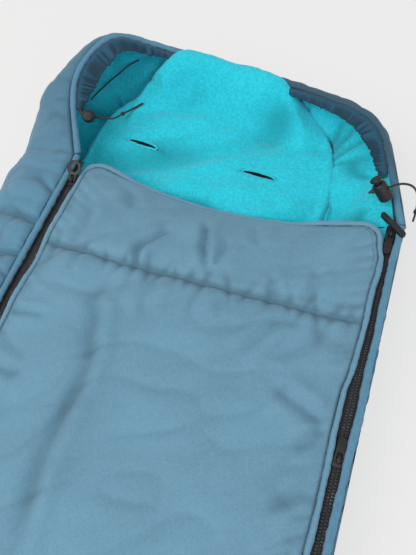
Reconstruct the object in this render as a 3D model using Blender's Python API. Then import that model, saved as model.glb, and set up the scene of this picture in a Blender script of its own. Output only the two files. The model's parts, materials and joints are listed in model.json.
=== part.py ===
"""A footmuff for a stroller seat: a padded bag with a zipped cover, a drawn hood and harness slits.

The bag lies on its back with its head end at +Y. Sizes are in metres. The cover and its zips sit
to the right of the back panel's middle, because the left side wall has slumped outwards.
"""

import math

import bmesh
import bpy
from mathutils import Matrix, Vector

# Driving sizes of the bag
COVER_LENGTH = 0.677
BAND_DEPTH = 0.113
HOOD_DEPTH = 0.197
ZIP_SPAN = 0.351
BACK_SETBACK = 0.0185
RIM_HEIGHT = 0.0862
PAD_HEIGHT = 0.050

# Where the pieces lie across the bag
COVER_CENTRE_X = 0.0440
BACK_CENTRE_X = -0.0085

# Fabrics, fillings and the gap between touching layers
FABRIC = 0.0012
FLEECE = 0.0028
WALL_WADDING = 0.0060
WALL_WADDING_EDGE_SHARE = 0.45
GAP = 0.0003
OVERRUN = 0.010

# How far the side walls slump outwards, low down and near the rim
SLUMP_LOW = 0.1075
SLUMP_HIGH = 0.1045
RIGHT_LOW_SHARE = 0.59
RIGHT_HIGH_SHARE = 0.225
WALL_LIFT = 0.0006
WALL_STEPS = 7
HOOD_STEPS = 3
FOOT_STEPS = 2

# The back panel reaches past the zips at both ends
BACK_HEAD_SETBACK = 0.020
BACK_FOOT_REACH = 0.008
FOOT_CORNER = 0.035
HOOD_OUT = 0.0060
FOOT_OUT = 0.0464
HOOD_START = 0.0030

# Zips: half sizes are measured from the middle of the teeth
TEETH_INNER = 0.0009
TEETH_WIDTH = 0.0026
TEETH_HEIGHT = 0.0030
TAPE = 0.0010
ZIP_DROP = 0.0059
SHELL_SETBACK = 0.0129
COVER_SETBACK = 0.0113
ZIP_BOX_LENGTH = 0.0100
ZIP_BOX_HEIGHT = 0.0046

# Piping rolls
WELT_RADIUS = 0.0038
PIPING_RADIUS = 0.0030
HOOD_WELT_CLEARANCE = 0.0007
HOOD_WELT_TRIM_SHARE = 0.10
TUBE_SIDES_RESOLUTION = 2

# Cover
COVER_CORNER = 0.022
COVER_CROWN = 0.0065
COVER_WADDING = 0.0090
COVER_WADDING_EDGE = 0.0028
COVER_SOFT_RUN = 0.045
COVER_SAG = 0.024
COVER_NECK_DIP = 0.0135
SAG_RUN = 0.230
SEAM_WIDTH = 0.011
SEAM_PINCH_SHARE = 0.80

# Sliders
SLIDER_WIDTH = 0.0094
SLIDER_LENGTH = 0.0160
SLIDER_PLATE = 0.0015
SLIDER_WEB = 0.0010
SLIDER_FLANGE = 0.0009
RUNNING_CLEARANCE = 0.0003
TAPE_SLIT = 0.0018
CROWN_WIDTH = 0.0030
CROWN_LENGTH = 0.0062
CROWN_HEIGHT = 0.0042
CROWN_LEG = 0.0016
CROWN_SETBACK = 0.0020
NOSE_SETBACK = 0.0060
NOSE_RADIUS = 0.0024
NOSE_HEIGHT = 0.0036
LEFT_SLIDER_DROP = 0.0290
RIGHT_SLIDER_DROP = 0.0060
LOWER_SLIDER_DROP = 0.2370

# Pulls
PULL_THICKNESS = 0.0016
PULL_ARM_CLEARANCE = 0.0008
PULL_ARM = 0.0017
PULL_HOLE_LENGTH = 0.0052
TAB_LENGTH = 0.0240
FINGER_LENGTH = 0.0200
RING_LENGTH = 0.0230
RING_WIDTH = 0.0165
RING_WALL = 0.0034
RING_TILT = math.radians(32)
GRIP_LENGTH = 0.0340
GRIP_WIDTH = 0.0056
GRIP_HEIGHT = 0.0042
GRIP_TURN = math.radians(-39)
GRIP_PIN_CLEARANCE = 0.0003
GRIP_PIN_RADIUS = 0.0011

# Draw cord, its locks and its knots
CORD_DIAMETER = 0.0024
CHANNEL_RADIUS = 0.0062
CHANNEL_BORE = 0.0022
CHANNEL_DROP = 0.0040
CHANNEL_START_SHARE = 0.125
CHANNEL_FINISH_SHARE = 0.917
LOCK_RADIUS = 0.0075
LOCK_ABOVE_CORD = 0.0080
LOCK_BELOW_CORD = 0.0120
LOCK_FLOOR = 0.0014
LOCK_BORE = 0.0045
LOCK_CORD_HOLE = 0.0022
PLUNGER_CLEARANCE = 0.0002
PLUNGER_HEEL = 0.0020
PLUNGER_TRAVEL = 0.0034
BUTTON_RADIUS = 0.0062
BUTTON_HEIGHT = 0.0030
SPRING_WIRE = 0.0003
SPRING_TURNS = 3
SPRING_POINTS = 8
KNOT_RADIUS = 0.0027
KNOT_LENGTH = 0.0042

# Harness slits, bound round their edges
SLIT_LENGTH = 0.0440
SLIT_OPENING = 0.0056
BINDING = 0.0008
BINDING_PROUD = 0.0010

# Hanging loop inside the hood, sewn down at both ends
LOOP_DIAMETER = 0.0018
LOOP_SEAT = 0.0005
LOOP_SAG = 0.0070
LOOP_POINTS = 16
LOOP_START_SHARES = (0.68, 0.62)
LOOP_FINISH_SHARES = (0.80, 0.36)

# Places worked out from the sizes above
HINGE_Y = -(COVER_LENGTH + HOOD_DEPTH + HOOD_OUT - FOOT_OUT) / 2
COVER_TOP_Y = HINGE_Y + COVER_LENGTH
BAND_SEAM_Y = COVER_TOP_Y - BAND_DEPTH
SIDE_TOP_Y = COVER_TOP_Y + HOOD_START
SIDE_FOOT_Y = HINGE_Y + FOOT_CORNER
ZIP_X = {"left": COVER_CENTRE_X - ZIP_SPAN / 2, "right": COVER_CENTRE_X + ZIP_SPAN / 2}
OUTWARDS = {"left": -1, "right": 1}
ZIP_Z = RIM_HEIGHT - ZIP_DROP
RIM_HALF = ZIP_SPAN / 2 + SHELL_SETBACK
BACK_HALF = ZIP_SPAN / 2 - BACK_SETBACK
BACK_HEAD_RUN = HOOD_DEPTH - BACK_HEAD_SETBACK
BACK_FOOT_RUN = FOOT_CORNER + BACK_FOOT_REACH
RIM_FOOT_RUN = FOOT_CORNER + GAP
WELT_Z = ZIP_Z + TAPE / 2 + GAP + WELT_RADIUS
PIPING_Z = ZIP_Z + TAPE / 2 + GAP + PIPING_RADIUS
COVER_HALF = ZIP_SPAN / 2 - COVER_SETBACK
SLIDER_HALF_HEIGHT = TEETH_HEIGHT / 2 + RUNNING_CLEARANCE + SLIDER_PLATE
PULL_AXIS_Z = ZIP_Z + SLIDER_HALF_HEIGHT + (CROWN_HEIGHT - CROWN_LEG) / 2

# Stations of the hood, from the right zip round the head to the left zip. The shares are: across
# and along the back panel, across, along and up the rim, then the low and the high slump.
HOOD_SHARES = (
    (1.00, 0.00, 1.000, 0.000, 1.00, RIGHT_LOW_SHARE, RIGHT_HIGH_SHARE),
    (1.00, 0.40, 0.874, 0.373, 1.02, 0.49, 0.10),
    (0.88, 0.74, 0.738, 0.656, 1.04, 0.35, 0.12),
    (0.56, 0.94, 0.432, 0.805, 1.02, 0.25, 0.15),
    (0.00, 1.00, -0.285, 0.961, 0.93, 0.19, 0.13),
    (-0.56, 0.94, -0.787, 0.945, 1.13, 0.27, 0.16),
    (-0.88, 0.74, -1.074, 0.790, 1.46, 0.49, 0.34),
    (-1.00, 0.40, -1.211, 0.449, 1.25, 0.84, 0.68),
    (-1.00, 0.00, -1.000, 0.000, 1.00, 1.00, 1.00),
)

# Stations of the foot end, from the left side round to the right side
FOOT_SHARES = (
    (-1.00, 0.00, -1.000, 0.00, 1.00, 1.00, 1.00),
    (-0.98, 0.42, -0.985, 0.40, 1.00, 0.86, 0.82),
    (-0.88, 0.78, -0.940, 0.75, 1.00, 0.68, 0.60),
    (-0.68, 1.00, -0.800, 1.00, 1.00, 0.54, 0.46),
    (-0.34, 1.02, -0.400, 1.00, 1.00, 0.50, 0.40),
    (0.00, 1.02, 0.000, 1.00, 1.00, 0.50, 0.38),
    (0.34, 1.02, 0.400, 1.00, 1.00, 0.50, 0.36),
    (0.68, 1.00, 0.800, 1.00, 1.00, 0.47, 0.32),
    (0.88, 0.78, 0.940, 0.75, 1.00, 0.50, 0.28),
    (0.98, 0.42, 0.985, 0.40, 1.00, 0.58, 0.27),
    (1.00, 0.00, 1.000, 0.00, 1.00, RIGHT_LOW_SHARE, RIGHT_HIGH_SHARE),
)

# Folds down the side walls, as shares of each wall's slump, from its head end to its foot end
SIDE_FOLD_SHARES = {
    "left": (1.00, 1.02, 0.91, 1.01, 0.92, 1.02, 0.90, 1.01, 0.93, 1.02, 0.93, 1.00),
    "right": (1.00, 1.05, 0.97, 1.05, 1.00),
}
FOLD_STEPS = 2

# The pad's rolled edge: inwards in rolls, and up in pad heights
PAD_ROLL = 0.030
PAD_EDGE_SHARES = ((0.0, 0.26), (0.10, 0.50), (0.38, 0.74), (0.95, 0.88), (2.30, 0.96))

# Columns and rows of the cover's grids, as shares of their half width or of their length
COVER_COLUMN_SHARES = (-1.0, -0.93, -0.78, -0.50, -0.17, 0.17, 0.50, 0.78, 0.93, 1.0)
CORNER_ROW_SHARES = (0.0, 0.25, 0.60, 1.0)
LOWER_ROW_SHARES = (0.20, 0.45, 0.72, 0.90)
BAND_ROW_SHARES = (0.14, 0.42)

# Harness slits: across in half back widths, down from the head in half back widths, and their turn
SLIT_SHARES = {
    "shoulder_slit_binding_left": (-0.535, 0.715, math.radians(-7)),
    "shoulder_slit_binding_right": (0.445, 0.785, math.radians(-4)),
    "waist_slit_binding_left": (-0.535, 2.75, 0.0),
    "waist_slit_binding_right": (0.445, 2.75, 0.0),
    "crotch_slit_binding": (-0.045, 3.40, math.radians(90)),
}

# Routes of the cord's free ends, from just past the channel's mouth to the sealed tip
LEFT_TAIL_ROUTE = (
    (-0.1592, 0.3190, 0.0948),
    (-0.1560, 0.3131, 0.0957),
    (-0.1475, 0.3160, 0.0934),
    (-0.1355, 0.3199, 0.0904),
    (-0.1300, 0.3262, 0.0838),
    (-0.1295, 0.3360, 0.0740),
    (-0.1303, 0.3480, 0.0650),
    (-0.1300, 0.3610, 0.0575),
    (-0.1262, 0.3710, 0.0538),
    (-0.1210, 0.3795, 0.0522),
    (-0.1154, 0.3886, 0.0515),
)
RIGHT_TAIL_ROUTE = (
    (0.1965, 0.3225, 0.0840),
    (0.1955, 0.3120, 0.0838),
    (0.1925, 0.3020, 0.0842),
    (0.1888, 0.2950, 0.0872),
    (0.1897, 0.2905, 0.0928),
    (0.1949, 0.2897, 0.0968),
    (0.2005, 0.2905, 0.1016),
    (0.2061, 0.2913, 0.1064),
    (0.2113, 0.2925, 0.1109),
    (0.2175, 0.2940, 0.1134),
    (0.2240, 0.2958, 0.1122),
    (0.2297, 0.2975, 0.1075),
    (0.2340, 0.2990, 0.1000),
    (0.2370, 0.3005, 0.0900),
    (0.2392, 0.3018, 0.0785),
    (0.2408, 0.3030, 0.0660),
    (0.2419, 0.3041, 0.0530),
    (0.2426, 0.3052, 0.0400),
)
TAIL_POINTS = 34

# Which point of its route each lock sits on, the way its button points, and its knot's place
LOCK_POINTS = {"left": 2, "right": 6}
BUTTON_WAY_SHARES = {"left": (0.47, -0.56, 0.68), "right": (-0.40, 0.32, 0.86)}
KNOT_SHARES = {"left": 0.74, "right": 0.88}

# Colours, roughness and metallic value of each material
MATERIALS = {
    "shell cloth": ((0.067, 0.165, 0.262), 0.78, 0.0),
    "cover cloth": ((0.130, 0.272, 0.370), 0.76, 0.0),
    "fleece": ((0.020, 0.560, 0.680), 0.95, 0.0),
    "wadding": ((0.80, 0.80, 0.78), 0.95, 0.0),
    "black tape": ((0.012, 0.012, 0.014), 0.80, 0.0),
    "black plastic": ((0.015, 0.014, 0.016), 0.42, 0.0),
    "spring steel": ((0.55, 0.55, 0.57), 0.30, 1.0),
}


def material(name):
    """The Principled material of this name, made on first use."""
    made = bpy.data.materials.get(name)
    if made is None:
        colour, roughness, metallic = MATERIALS[name]
        made = bpy.data.materials.new(name)
        made.use_nodes = True
        shader = made.node_tree.nodes["Principled BSDF"]
        shader.inputs["Base Color"].default_value = (*colour, 1.0)
        shader.inputs["Roughness"].default_value = roughness
        shader.inputs["Metallic"].default_value = metallic
    return made


def place(name, data, finish, parent=None):
    """An object in the scene, with its material. With a parent, it keeps its world place."""
    made = bpy.data.objects.new(name, data)
    bpy.context.scene.collection.objects.link(made)
    data.materials.append(material(finish))
    if parent is not None:
        made.parent = parent
        made.matrix_parent_inverse = parent.matrix_world.inverted()
    return made


def empty(name, location):
    """A joint's frame."""
    made = bpy.data.objects.new(name, None)
    made.location = location
    bpy.context.scene.collection.objects.link(made)
    bpy.context.view_layer.update()
    return made


def mesh_object(name, body, finish, parent=None, smooth=True):
    """A closed bmesh as an object, with its faces turned out."""
    bmesh.ops.recalc_face_normals(body, faces=body.faces)
    data = bpy.data.meshes.new(name)
    body.to_mesh(data)
    body.free()
    if smooth:
        data.shade_smooth()
        data.set_sharp_from_angle(angle=math.radians(40))
    return place(name, data, finish, parent)


def smooth_rows(rows, steps):
    """Rows of numbers along a smooth curve through the given rows, with this many steps to a span."""
    found = []
    last = len(rows) - 1
    for span in range(last):
        before = rows[max(span - 1, 0)]
        start, finish = rows[span], rows[span + 1]
        after = rows[min(span + 2, last)]
        for step in range(steps + (span == last - 1)):
            t = step / steps
            weights = (
                (-t + 2 * t**2 - t**3) / 2,
                (2 - 5 * t**2 + 3 * t**3) / 2,
                (t + 4 * t**2 - 3 * t**3) / 2,
                (t**3 - t**2) / 2,
            )
            found.append(
                tuple(
                    sum(weight * row[k] for weight, row in zip(weights, (before, start, finish, after)))
                    for k in range(len(start))
                )
            )
    return found


def evenly_spaced(route, count):
    """This many points at even distances along a smooth curve through the route's points."""
    fine = [Vector(point) for point in smooth_rows(route, 12)]
    travelled = [0.0]
    for first, second in zip(fine, fine[1:]):
        travelled.append(travelled[-1] + (second - first).length)
    points = []
    at = 0
    for step in range(count):
        wanted = travelled[-1] * step / (count - 1)
        while at < len(fine) - 2 and travelled[at + 1] < wanted:
            at += 1
        share = (wanted - travelled[at]) / (travelled[at + 1] - travelled[at])
        points.append(fine[at].lerp(fine[at + 1], share))
    return points


def tube(name, points, radius, finish, parent=None, resolution=TUBE_SIDES_RESOLUTION):
    """A round rod along the points, closed at its ends."""
    data = bpy.data.curves.new(name, "CURVE")
    data.dimensions = "3D"
    data.bevel_depth = radius
    data.bevel_resolution = resolution
    data.use_fill_caps = True
    line = data.splines.new("POLY")
    line.points.add(len(points) - 1)
    for spot, point in zip(line.points, points):
        spot.co = (*point, 1.0)
    return place(name, data, finish, parent)


def closed_sheet(name, front, back, finish, parent=None):
    """A closed body between two grids of points, one behind the other."""
    body = bmesh.new()
    sides = [[[body.verts.new(point) for point in row] for row in grid] for grid in (front, back)]
    rows, columns = len(front), len(front[0])
    for grid in sides:
        for i in range(rows - 1):
            for k in range(columns - 1):
                body.faces.new((grid[i][k], grid[i + 1][k], grid[i + 1][k + 1], grid[i][k + 1]))
    ahead, behind = sides
    rim = [(i, 0) for i in range(rows)]
    rim += [(rows - 1, k) for k in range(1, columns)]
    rim += [(i, columns - 1) for i in range(rows - 2, -1, -1)]
    rim += [(0, k) for k in range(columns - 2, 0, -1)]
    for (i, k), (m, n) in zip(rim, rim[1:] + rim[:1]):
        body.faces.new((ahead[i][k], ahead[m][n], behind[m][n], behind[i][k]))
    return mesh_object(name, body, finish, parent)


def closed_rings(name, runs, finish, closed=False):
    """A closed body over runs of rings, joined at their first rings. A ring on one line closes up there."""
    body = bmesh.new()
    made = [[[body.verts.new(point) for point in ring] for ring in run] for run in runs]
    pairs = []
    for run in made:
        pairs += list(zip(run, run[1:]))
    if len(made) > 1:
        pairs.append((made[0][0], made[1][0]))
    if closed:
        pairs.append((made[0][-1], made[-1][-1] if len(made) > 1 else made[0][0]))
    for lower, upper in pairs:
        for k in range(len(lower)):
            following = (k + 1) % len(lower)
            body.faces.new((lower[k], lower[following], upper[following], upper[k]))
    bmesh.ops.remove_doubles(body, verts=body.verts, dist=GAP / 100)
    return mesh_object(name, body, finish)


def prism(name, outline, depth, finish, parent=None, turn=Matrix(), smooth=False):
    """An outline in its own X and Y, made this deep along its own Z, then turned into place."""
    body = bmesh.new()
    face = body.faces.new([body.verts.new((x, y, 0.0)) for x, y in outline])
    grown = bmesh.ops.extrude_face_region(body, geom=[face])
    raised = [item for item in grown["geom"] if isinstance(item, bmesh.types.BMVert)]
    bmesh.ops.translate(body, verts=raised, vec=(0.0, 0.0, depth))
    bmesh.ops.transform(body, matrix=turn, verts=body.verts)
    return mesh_object(name, body, finish, parent, smooth)


def block(name, low, high, finish, parent=None):
    """A box between two corners."""
    outline = [(low[0], low[1]), (high[0], low[1]), (high[0], high[1]), (low[0], high[1])]
    turn = Matrix.Translation((0.0, 0.0, low[2]))
    return prism(name, outline, high[2] - low[2], finish, parent, turn)


def turned(name, profile, finish, parent=None, turn=Matrix(), sides=16):
    """A solid of revolution about its own Z, from (radius, height) pairs."""
    body = bmesh.new()
    rings = []
    for radius, height in profile:
        if radius == 0:
            rings.append([body.verts.new((0.0, 0.0, height))])
            continue
        angles = [math.tau * k / sides for k in range(sides)]
        rings.append([body.verts.new((radius * math.cos(a), radius * math.sin(a), height)) for a in angles])
    pairs = list(zip(rings, rings[1:]))
    if len(rings[0]) > 1:
        pairs.append((rings[-1], rings[0]))
    for lower, upper in pairs:
        for k in range(sides):
            following = (k + 1) % sides
            if len(lower) == 1:
                body.faces.new((lower[0], upper[k], upper[following]))
            elif len(upper) == 1:
                body.faces.new((lower[k], lower[following], upper[0]))
            else:
                body.faces.new((lower[k], lower[following], upper[following], upper[k]))
    bmesh.ops.transform(body, matrix=turn, verts=body.verts)
    return mesh_object(name, body, finish, parent)


def as_tool(cutter):
    """Marks a helper that only cuts or adds."""
    cutter.hide_render = True
    cutter.display_type = "WIRE"
    return cutter


def combine(target, tool, operation):
    """Cuts a tool from a target, or joins it on."""
    step = target.modifiers.new(tool.name, "BOOLEAN")
    step.operation = operation
    step.object = as_tool(tool)


def frame_along(origin, along, upwards):
    """A matrix whose X runs along one direction and whose Z is as near as can be to another."""
    x = Vector(along).normalized()
    z = Vector(upwards)
    z = (z - x * z.dot(x)).normalized()
    y = z.cross(x)
    turn = Matrix((x, y, z)).transposed().to_4x4()
    return Matrix.Translation(origin) @ turn


def stadium(length, width, steps=4):
    """The outline of a slot with round ends, along X."""
    radius = width / 2
    reach = length / 2 - radius
    points = []
    for end, start in ((1, -90), (-1, 90)):
        for step in range(steps + 1):
            angle = math.radians(start + 180 * step / steps)
            points.append((end * reach + radius * math.cos(angle), radius * math.sin(angle)))
    return points


def wall_stations(shares, start_y, back_run, rim_run, steps):
    """Smooth stations of a curved wall: back point, rim point, low and high slump."""
    stations = []
    for back_x, back_y, rim_x, rim_y, rim_z, low, high in smooth_rows(shares, steps):
        back = Vector((BACK_CENTRE_X + back_x * BACK_HALF, start_y + back_y * back_run, WALL_LIFT))
        rim = Vector(
            (COVER_CENTRE_X + rim_x * RIM_HALF, start_y + rim_y * rim_run, RIM_HEIGHT * rim_z)
        )
        stations.append((back, rim, low * SLUMP_LOW, high * SLUMP_HIGH))
    return stations


def hood_stations():
    return wall_stations(HOOD_SHARES, SIDE_TOP_Y, BACK_HEAD_RUN, HOOD_DEPTH, HOOD_STEPS)


def foot_stations():
    return wall_stations(FOOT_SHARES, SIDE_FOOT_Y, -BACK_FOOT_RUN, -RIM_FOOT_RUN, FOOT_STEPS)


def side_stations(side):
    """The stations of a straight side wall with its folds, so that the outside is on the walker's right."""
    low_share = RIGHT_LOW_SHARE if side == "right" else 1
    high_share = RIGHT_HIGH_SHARE if side == "right" else 1
    head, foot = SIDE_TOP_Y - GAP, SIDE_FOOT_Y + GAP
    folds = smooth_rows([(share,) for share in SIDE_FOLD_SHARES[side]], FOLD_STEPS)
    stations = []
    for i, (fold,) in enumerate(folds):
        y = head + (foot - head) * i / (len(folds) - 1)
        back = Vector((BACK_CENTRE_X + OUTWARDS[side] * BACK_HALF, y, WALL_LIFT))
        rim = Vector((COVER_CENTRE_X + OUTWARDS[side] * RIM_HALF, y, RIM_HEIGHT))
        stations.append((back, rim, fold * low_share * SLUMP_LOW, fold * high_share * SLUMP_HIGH))
    return stations if side == "left" else stations[::-1]


def plan_outwards(points):
    """The outward direction in plan at each point of a line walked with the outside on its right."""
    found = []
    last = len(points) - 1
    for i in range(len(points)):
        way = points[min(i + 1, last)] - points[max(i - 1, 0)]
        if i in (0, last):
            way = Vector((0.0, way.y, 0.0))
        found.append(Vector((way.y, -way.x, 0.0)).normalized())
    return found


def wall_surface(stations):
    """The outside of a wall as a grid of points, and the outward normal at each."""
    ways = plan_outwards([back for back, _, _, _ in stations])
    grid, climbs = [], []
    for (back, rim, low, high), way in zip(stations, ways):
        start = back + way * GAP
        handles = (start, start + way * low, rim + way * high, rim)
        row, climb = [], []
        for k in range(WALL_STEPS + 1):
            t = k / WALL_STEPS
            weights = ((1 - t) ** 3, 3 * t * (1 - t) ** 2, 3 * t**2 * (1 - t), t**3)
            row.append(sum((w * h for w, h in zip(weights, handles)), Vector()))
            weights = ((1 - t) ** 2, 2 * t * (1 - t), t**2)
            steps = [after - before for before, after in zip(handles, handles[1:])]
            climb.append(sum((w * s for w, s in zip(weights, steps)), Vector()))
        grid.append(row)
        climbs.append(climb)
    normals = []
    last = len(grid) - 1
    for i in range(len(grid)):
        line = []
        for k in range(WALL_STEPS + 1):
            along = grid[min(i + 1, last)][k] - grid[max(i - 1, 0)][k]
            if i in (0, last):
                along = Vector((0.0, along.y, 0.0))
            line.append(along.cross(climbs[i][k]).normalized())
        normals.append(line)
    return grid, normals


def wadding_depth(k):
    """The wadding's thickness, which pinches towards both seams."""
    swell = math.sin(math.pi * k / WALL_STEPS)
    return WALL_WADDING * (WALL_WADDING_EDGE_SHARE + (1 - WALL_WADDING_EDGE_SHARE) * swell)


def inset_grid(grid, normals, depth):
    """The grid moved inwards by a depth that may change from the back seam to the rim."""
    return [
        [point - normal * depth(k) for k, (point, normal) in enumerate(zip(row, line))]
        for row, line in zip(grid, normals)
    ]


def make_wall(name, stations):
    """A wall's three layers: cloth outside, wadding, and fleece inside."""
    grid, normals = wall_surface(stations)
    faces = (
        lambda k: 0.0,
        lambda k: FABRIC,
        lambda k: FABRIC + GAP,
        lambda k: FABRIC + GAP + wadding_depth(k),
        lambda k: FABRIC + 2 * GAP + wadding_depth(k),
        lambda k: FABRIC + 2 * GAP + wadding_depth(k) + FLEECE,
    )
    grids = [inset_grid(grid, normals, depth) for depth in faces]
    closed_sheet(f"{name}_outer", grids[0], grids[1], "shell cloth")
    closed_sheet(f"{name}_wadding", grids[2], grids[3], "wadding")
    closed_sheet(f"{name}_fleece", grids[4], grids[5], "fleece")


def back_outline():
    """The back panel's outline, walked with the outside on the right."""
    hood = [back for back, _, _, _ in hood_stations()]
    foot = [back for back, _, _, _ in foot_stations()]
    return hood + foot


def spine_point(point):
    """The nearest point to this one on the back panel's middle line."""
    head = SIDE_TOP_Y + BACK_HEAD_RUN - BACK_HALF
    foot = SIDE_FOOT_Y - BACK_FOOT_RUN + BACK_HALF
    return Vector((BACK_CENTRE_X, min(max(point.y, foot), head), 0.0))


def back_ring(inset, height):
    """The back panel's outline drawn in towards its middle line, at a height."""
    share = 1 - inset / BACK_HALF
    ring = []
    for point in back_outline():
        middle = spine_point(point)
        flat = middle + (Vector((point.x, point.y, 0.0)) - middle) * share
        ring.append(Vector((flat.x, flat.y, height)))
    return ring


def pad_profile(depth):
    """The pad's section from its seam to its middle, this far under the fleece's face."""
    floor = FABRIC + GAP
    points = [(0.0, floor)]
    points += [(PAD_ROLL * inwards, PAD_HEIGHT * up) for inwards, up in PAD_EDGE_SHARES]
    points.append((BACK_HALF, PAD_HEIGHT))
    moved = []
    for i, (inset, height) in enumerate(points):
        before = points[max(i - 1, 0)]
        after = points[min(i + 1, len(points) - 1)]
        way = Vector((after[0] - before[0], after[1] - before[1])).normalized()
        if i == 0:
            moved.append((inset + depth, height))
        elif i == len(points) - 1:
            moved.append((inset, height - depth))
        else:
            moved.append((inset + way.y * depth, height - way.x * depth))
    return moved


def pad_surface_height(x, y):
    """The fleece's height at a place on the pad."""
    outline = back_outline()
    middle = spine_point(Vector((x, y, 0.0)))
    reach = (Vector((x, y, 0.0)) - middle).length
    edge = min((Vector((p.x, p.y, 0.0)) - Vector((x, y, 0.0))).length for p in outline)
    inset = BACK_HALF * (1 - reach / (reach + edge))
    profile = pad_profile(0.0)
    for (low, start), (high, finish) in zip(profile, profile[1:]):
        if low <= inset <= high and high > low:
            return start + (finish - start) * (inset - low) / (high - low)
    return PAD_HEIGHT


def slit_places():
    """Each slit's frame, on the floor under its middle."""
    head = SIDE_TOP_Y + BACK_HEAD_RUN
    places = {}
    for name, (across, down, turn) in SLIT_SHARES.items():
        spot = Vector((BACK_CENTRE_X + across * BACK_HALF, head - down * BACK_HALF, 0.0))
        places[name] = Matrix.Translation(spot) @ Matrix.Rotation(turn, 4, "Z")
    return places


def make_back():
    """The back panel: a cloth underside, a thick wadding and a crowned fleece, with bound slits."""
    outline = [(point.x, point.y) for point in back_outline()]
    outer = prism("back_outer", outline, FABRIC, "shell cloth")
    faces = [[back_ring(inset, height) for inset, height in pad_profile(depth)] for depth in (0.0, FLEECE)]
    fleece = closed_rings("back_fleece", faces, "fleece")
    profile = pad_profile(FLEECE + GAP)
    wadding_rings = [back_ring(BACK_HALF, profile[0][1])]
    wadding_rings += [back_ring(inset, height) for inset, height in profile]
    wadding = closed_rings("back_wadding", [wadding_rings], "wadding")
    for name, turn in slit_places().items():
        make_slit(name, turn, (outer, wadding, fleece))


def make_slit(name, turn, layers):
    """A harness slit through the layers, with the tape that binds its edge."""
    growth = 2 * (BINDING + GAP)
    sink = Matrix.Translation((0.0, 0.0, -OVERRUN))
    depth = PAD_HEIGHT + 2 * OVERRUN
    cutter = prism(
        f"{name}_cutter",
        stadium(SLIT_LENGTH + growth, SLIT_OPENING + growth),
        depth,
        "black tape",
        turn=sink @ turn,
    )
    for layer in layers:
        combine(layer, cutter, "DIFFERENCE")
    centre = turn.translation
    height = pad_surface_height(centre.x, centre.y) + BINDING_PROUD
    around = stadium(SLIT_LENGTH + 2 * BINDING, SLIT_OPENING + 2 * BINDING)
    inside = stadium(SLIT_LENGTH, SLIT_OPENING)
    rings = []
    for outline, level in ((around, GAP), (around, height), (inside, height), (inside, GAP)):
        rings.append([turn @ Vector((x, y, level)) for x, y in outline])
    closed_rings(name, [rings], "black tape", closed=True)


def make_welts():
    """The rolled welts: one along each zip and one round the hood's edge."""
    for side in ("left", "right"):
        x = ZIP_X[side] + OUTWARDS[side] * (SHELL_SETBACK - GAP - WELT_RADIUS)
        ends = [Vector((x, SIDE_FOOT_Y + GAP, WELT_Z)), Vector((x, SIDE_TOP_Y - GAP, WELT_Z))]
        tube(f"shell_welt_{side}", ends, WELT_RADIUS, "shell cloth")
    line = hood_line(WELT_RADIUS + HOOD_WELT_CLEARANCE, RIM_HEIGHT - WELT_Z)
    line[0] = line[0].lerp(line[1], HOOD_WELT_TRIM_SHARE)
    line[-1] = line[-1].lerp(line[-2], HOOD_WELT_TRIM_SHARE)
    tube("hood_welt", line, WELT_RADIUS, "shell cloth")


def hood_line(inwards, drop, start_share=0.0, finish_share=1.0):
    """A line round the hood, in from the rim and under it, over a share of its stations."""
    stations = hood_stations()
    rims = [rim for _, rim, _, _ in stations]
    ways = plan_outwards(rims)
    last = len(rims) - 1
    first = round(start_share * last)
    final = round(finish_share * last)
    line = []
    for rim, way in list(zip(rims, ways))[first : final + 1]:
        line.append(rim - way * inwards - Vector((0.0, 0.0, drop)))
    return line


def make_channel():
    """The cord's gathered channel inside the hood's edge, the draw cord in it, and the channel's mouths."""
    inwards = 2 * (WELT_RADIUS + GAP) + CHANNEL_RADIUS + GAP
    line = hood_line(inwards, CHANNEL_DROP, CHANNEL_START_SHARE, CHANNEL_FINISH_SHARE)
    inner = [ring_about(line, i, CHANNEL_BORE) for i in range(len(line))]
    outer = [ring_about(line, i, CHANNEL_RADIUS) for i in range(len(line))]
    closed_rings("cord_channel", [outer, inner], "shell cloth", closed=True)
    first, last = (GAP / (line[i] - line[k]).length for i, k in ((0, 1), (-1, -2)))
    cord = [line[0].lerp(line[1], first)] + line[1:-1] + [line[-1].lerp(line[-2], last)]
    tube("draw_cord", cord, CORD_DIAMETER / 2, "black tape")
    return {"right": line[0], "left": line[-1]}


def ring_about(line, i, radius, sides=8):
    """A ring of points square to a line at one of its points."""
    way = line[min(i + 1, len(line) - 1)] - line[max(i - 1, 0)]
    turn = frame_along(line[i], way, (0.0, 0.0, 1.0))
    angles = [math.tau * (k + 0.5) / sides for k in range(sides)]
    return [turn @ Vector((0.0, radius * math.cos(a), radius * math.sin(a))) for a in angles]


def cover_half_at(y):
    """The cover's half width at a place along it, less where its corners turn."""
    into = max(COVER_CORNER - (y - HINGE_Y - GAP), COVER_CORNER - (COVER_TOP_Y - y), 0.0)
    into = min(into, COVER_CORNER)
    return COVER_HALF - (COVER_CORNER - math.sqrt(COVER_CORNER**2 - into**2))


def puff(share, y):
    """How full the cover is, from 0 at its edges and its quilting seam to 1."""
    across = 1 - share**4
    run = min(y - HINGE_Y - GAP, COVER_TOP_Y - y) / COVER_SOFT_RUN
    ends = math.sin(math.pi / 2 * min(max(run, 0.0), 1.0))
    seam = 1 - SEAM_PINCH_SHARE * math.exp(-(((y - BAND_SEAM_Y) / SEAM_WIDTH) ** 2))
    return across * ends * seam


def slack(point):
    """A point of the cover moved down and away from the head, where the free edge hangs between the zips."""
    across = min(abs(point.x - COVER_CENTRE_X) / COVER_HALF, 1.0)
    hollow = 1 - across**2
    sag = min(max((point.y - COVER_TOP_Y) / SAG_RUN + 1, 0.0), 1.0) ** 2
    dip = min(max((point.y - BAND_SEAM_Y) / BAND_DEPTH, 0.0), 1.0)
    return point - Vector((0.0, COVER_NECK_DIP * hollow * dip, COVER_SAG * hollow * sag))


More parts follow.
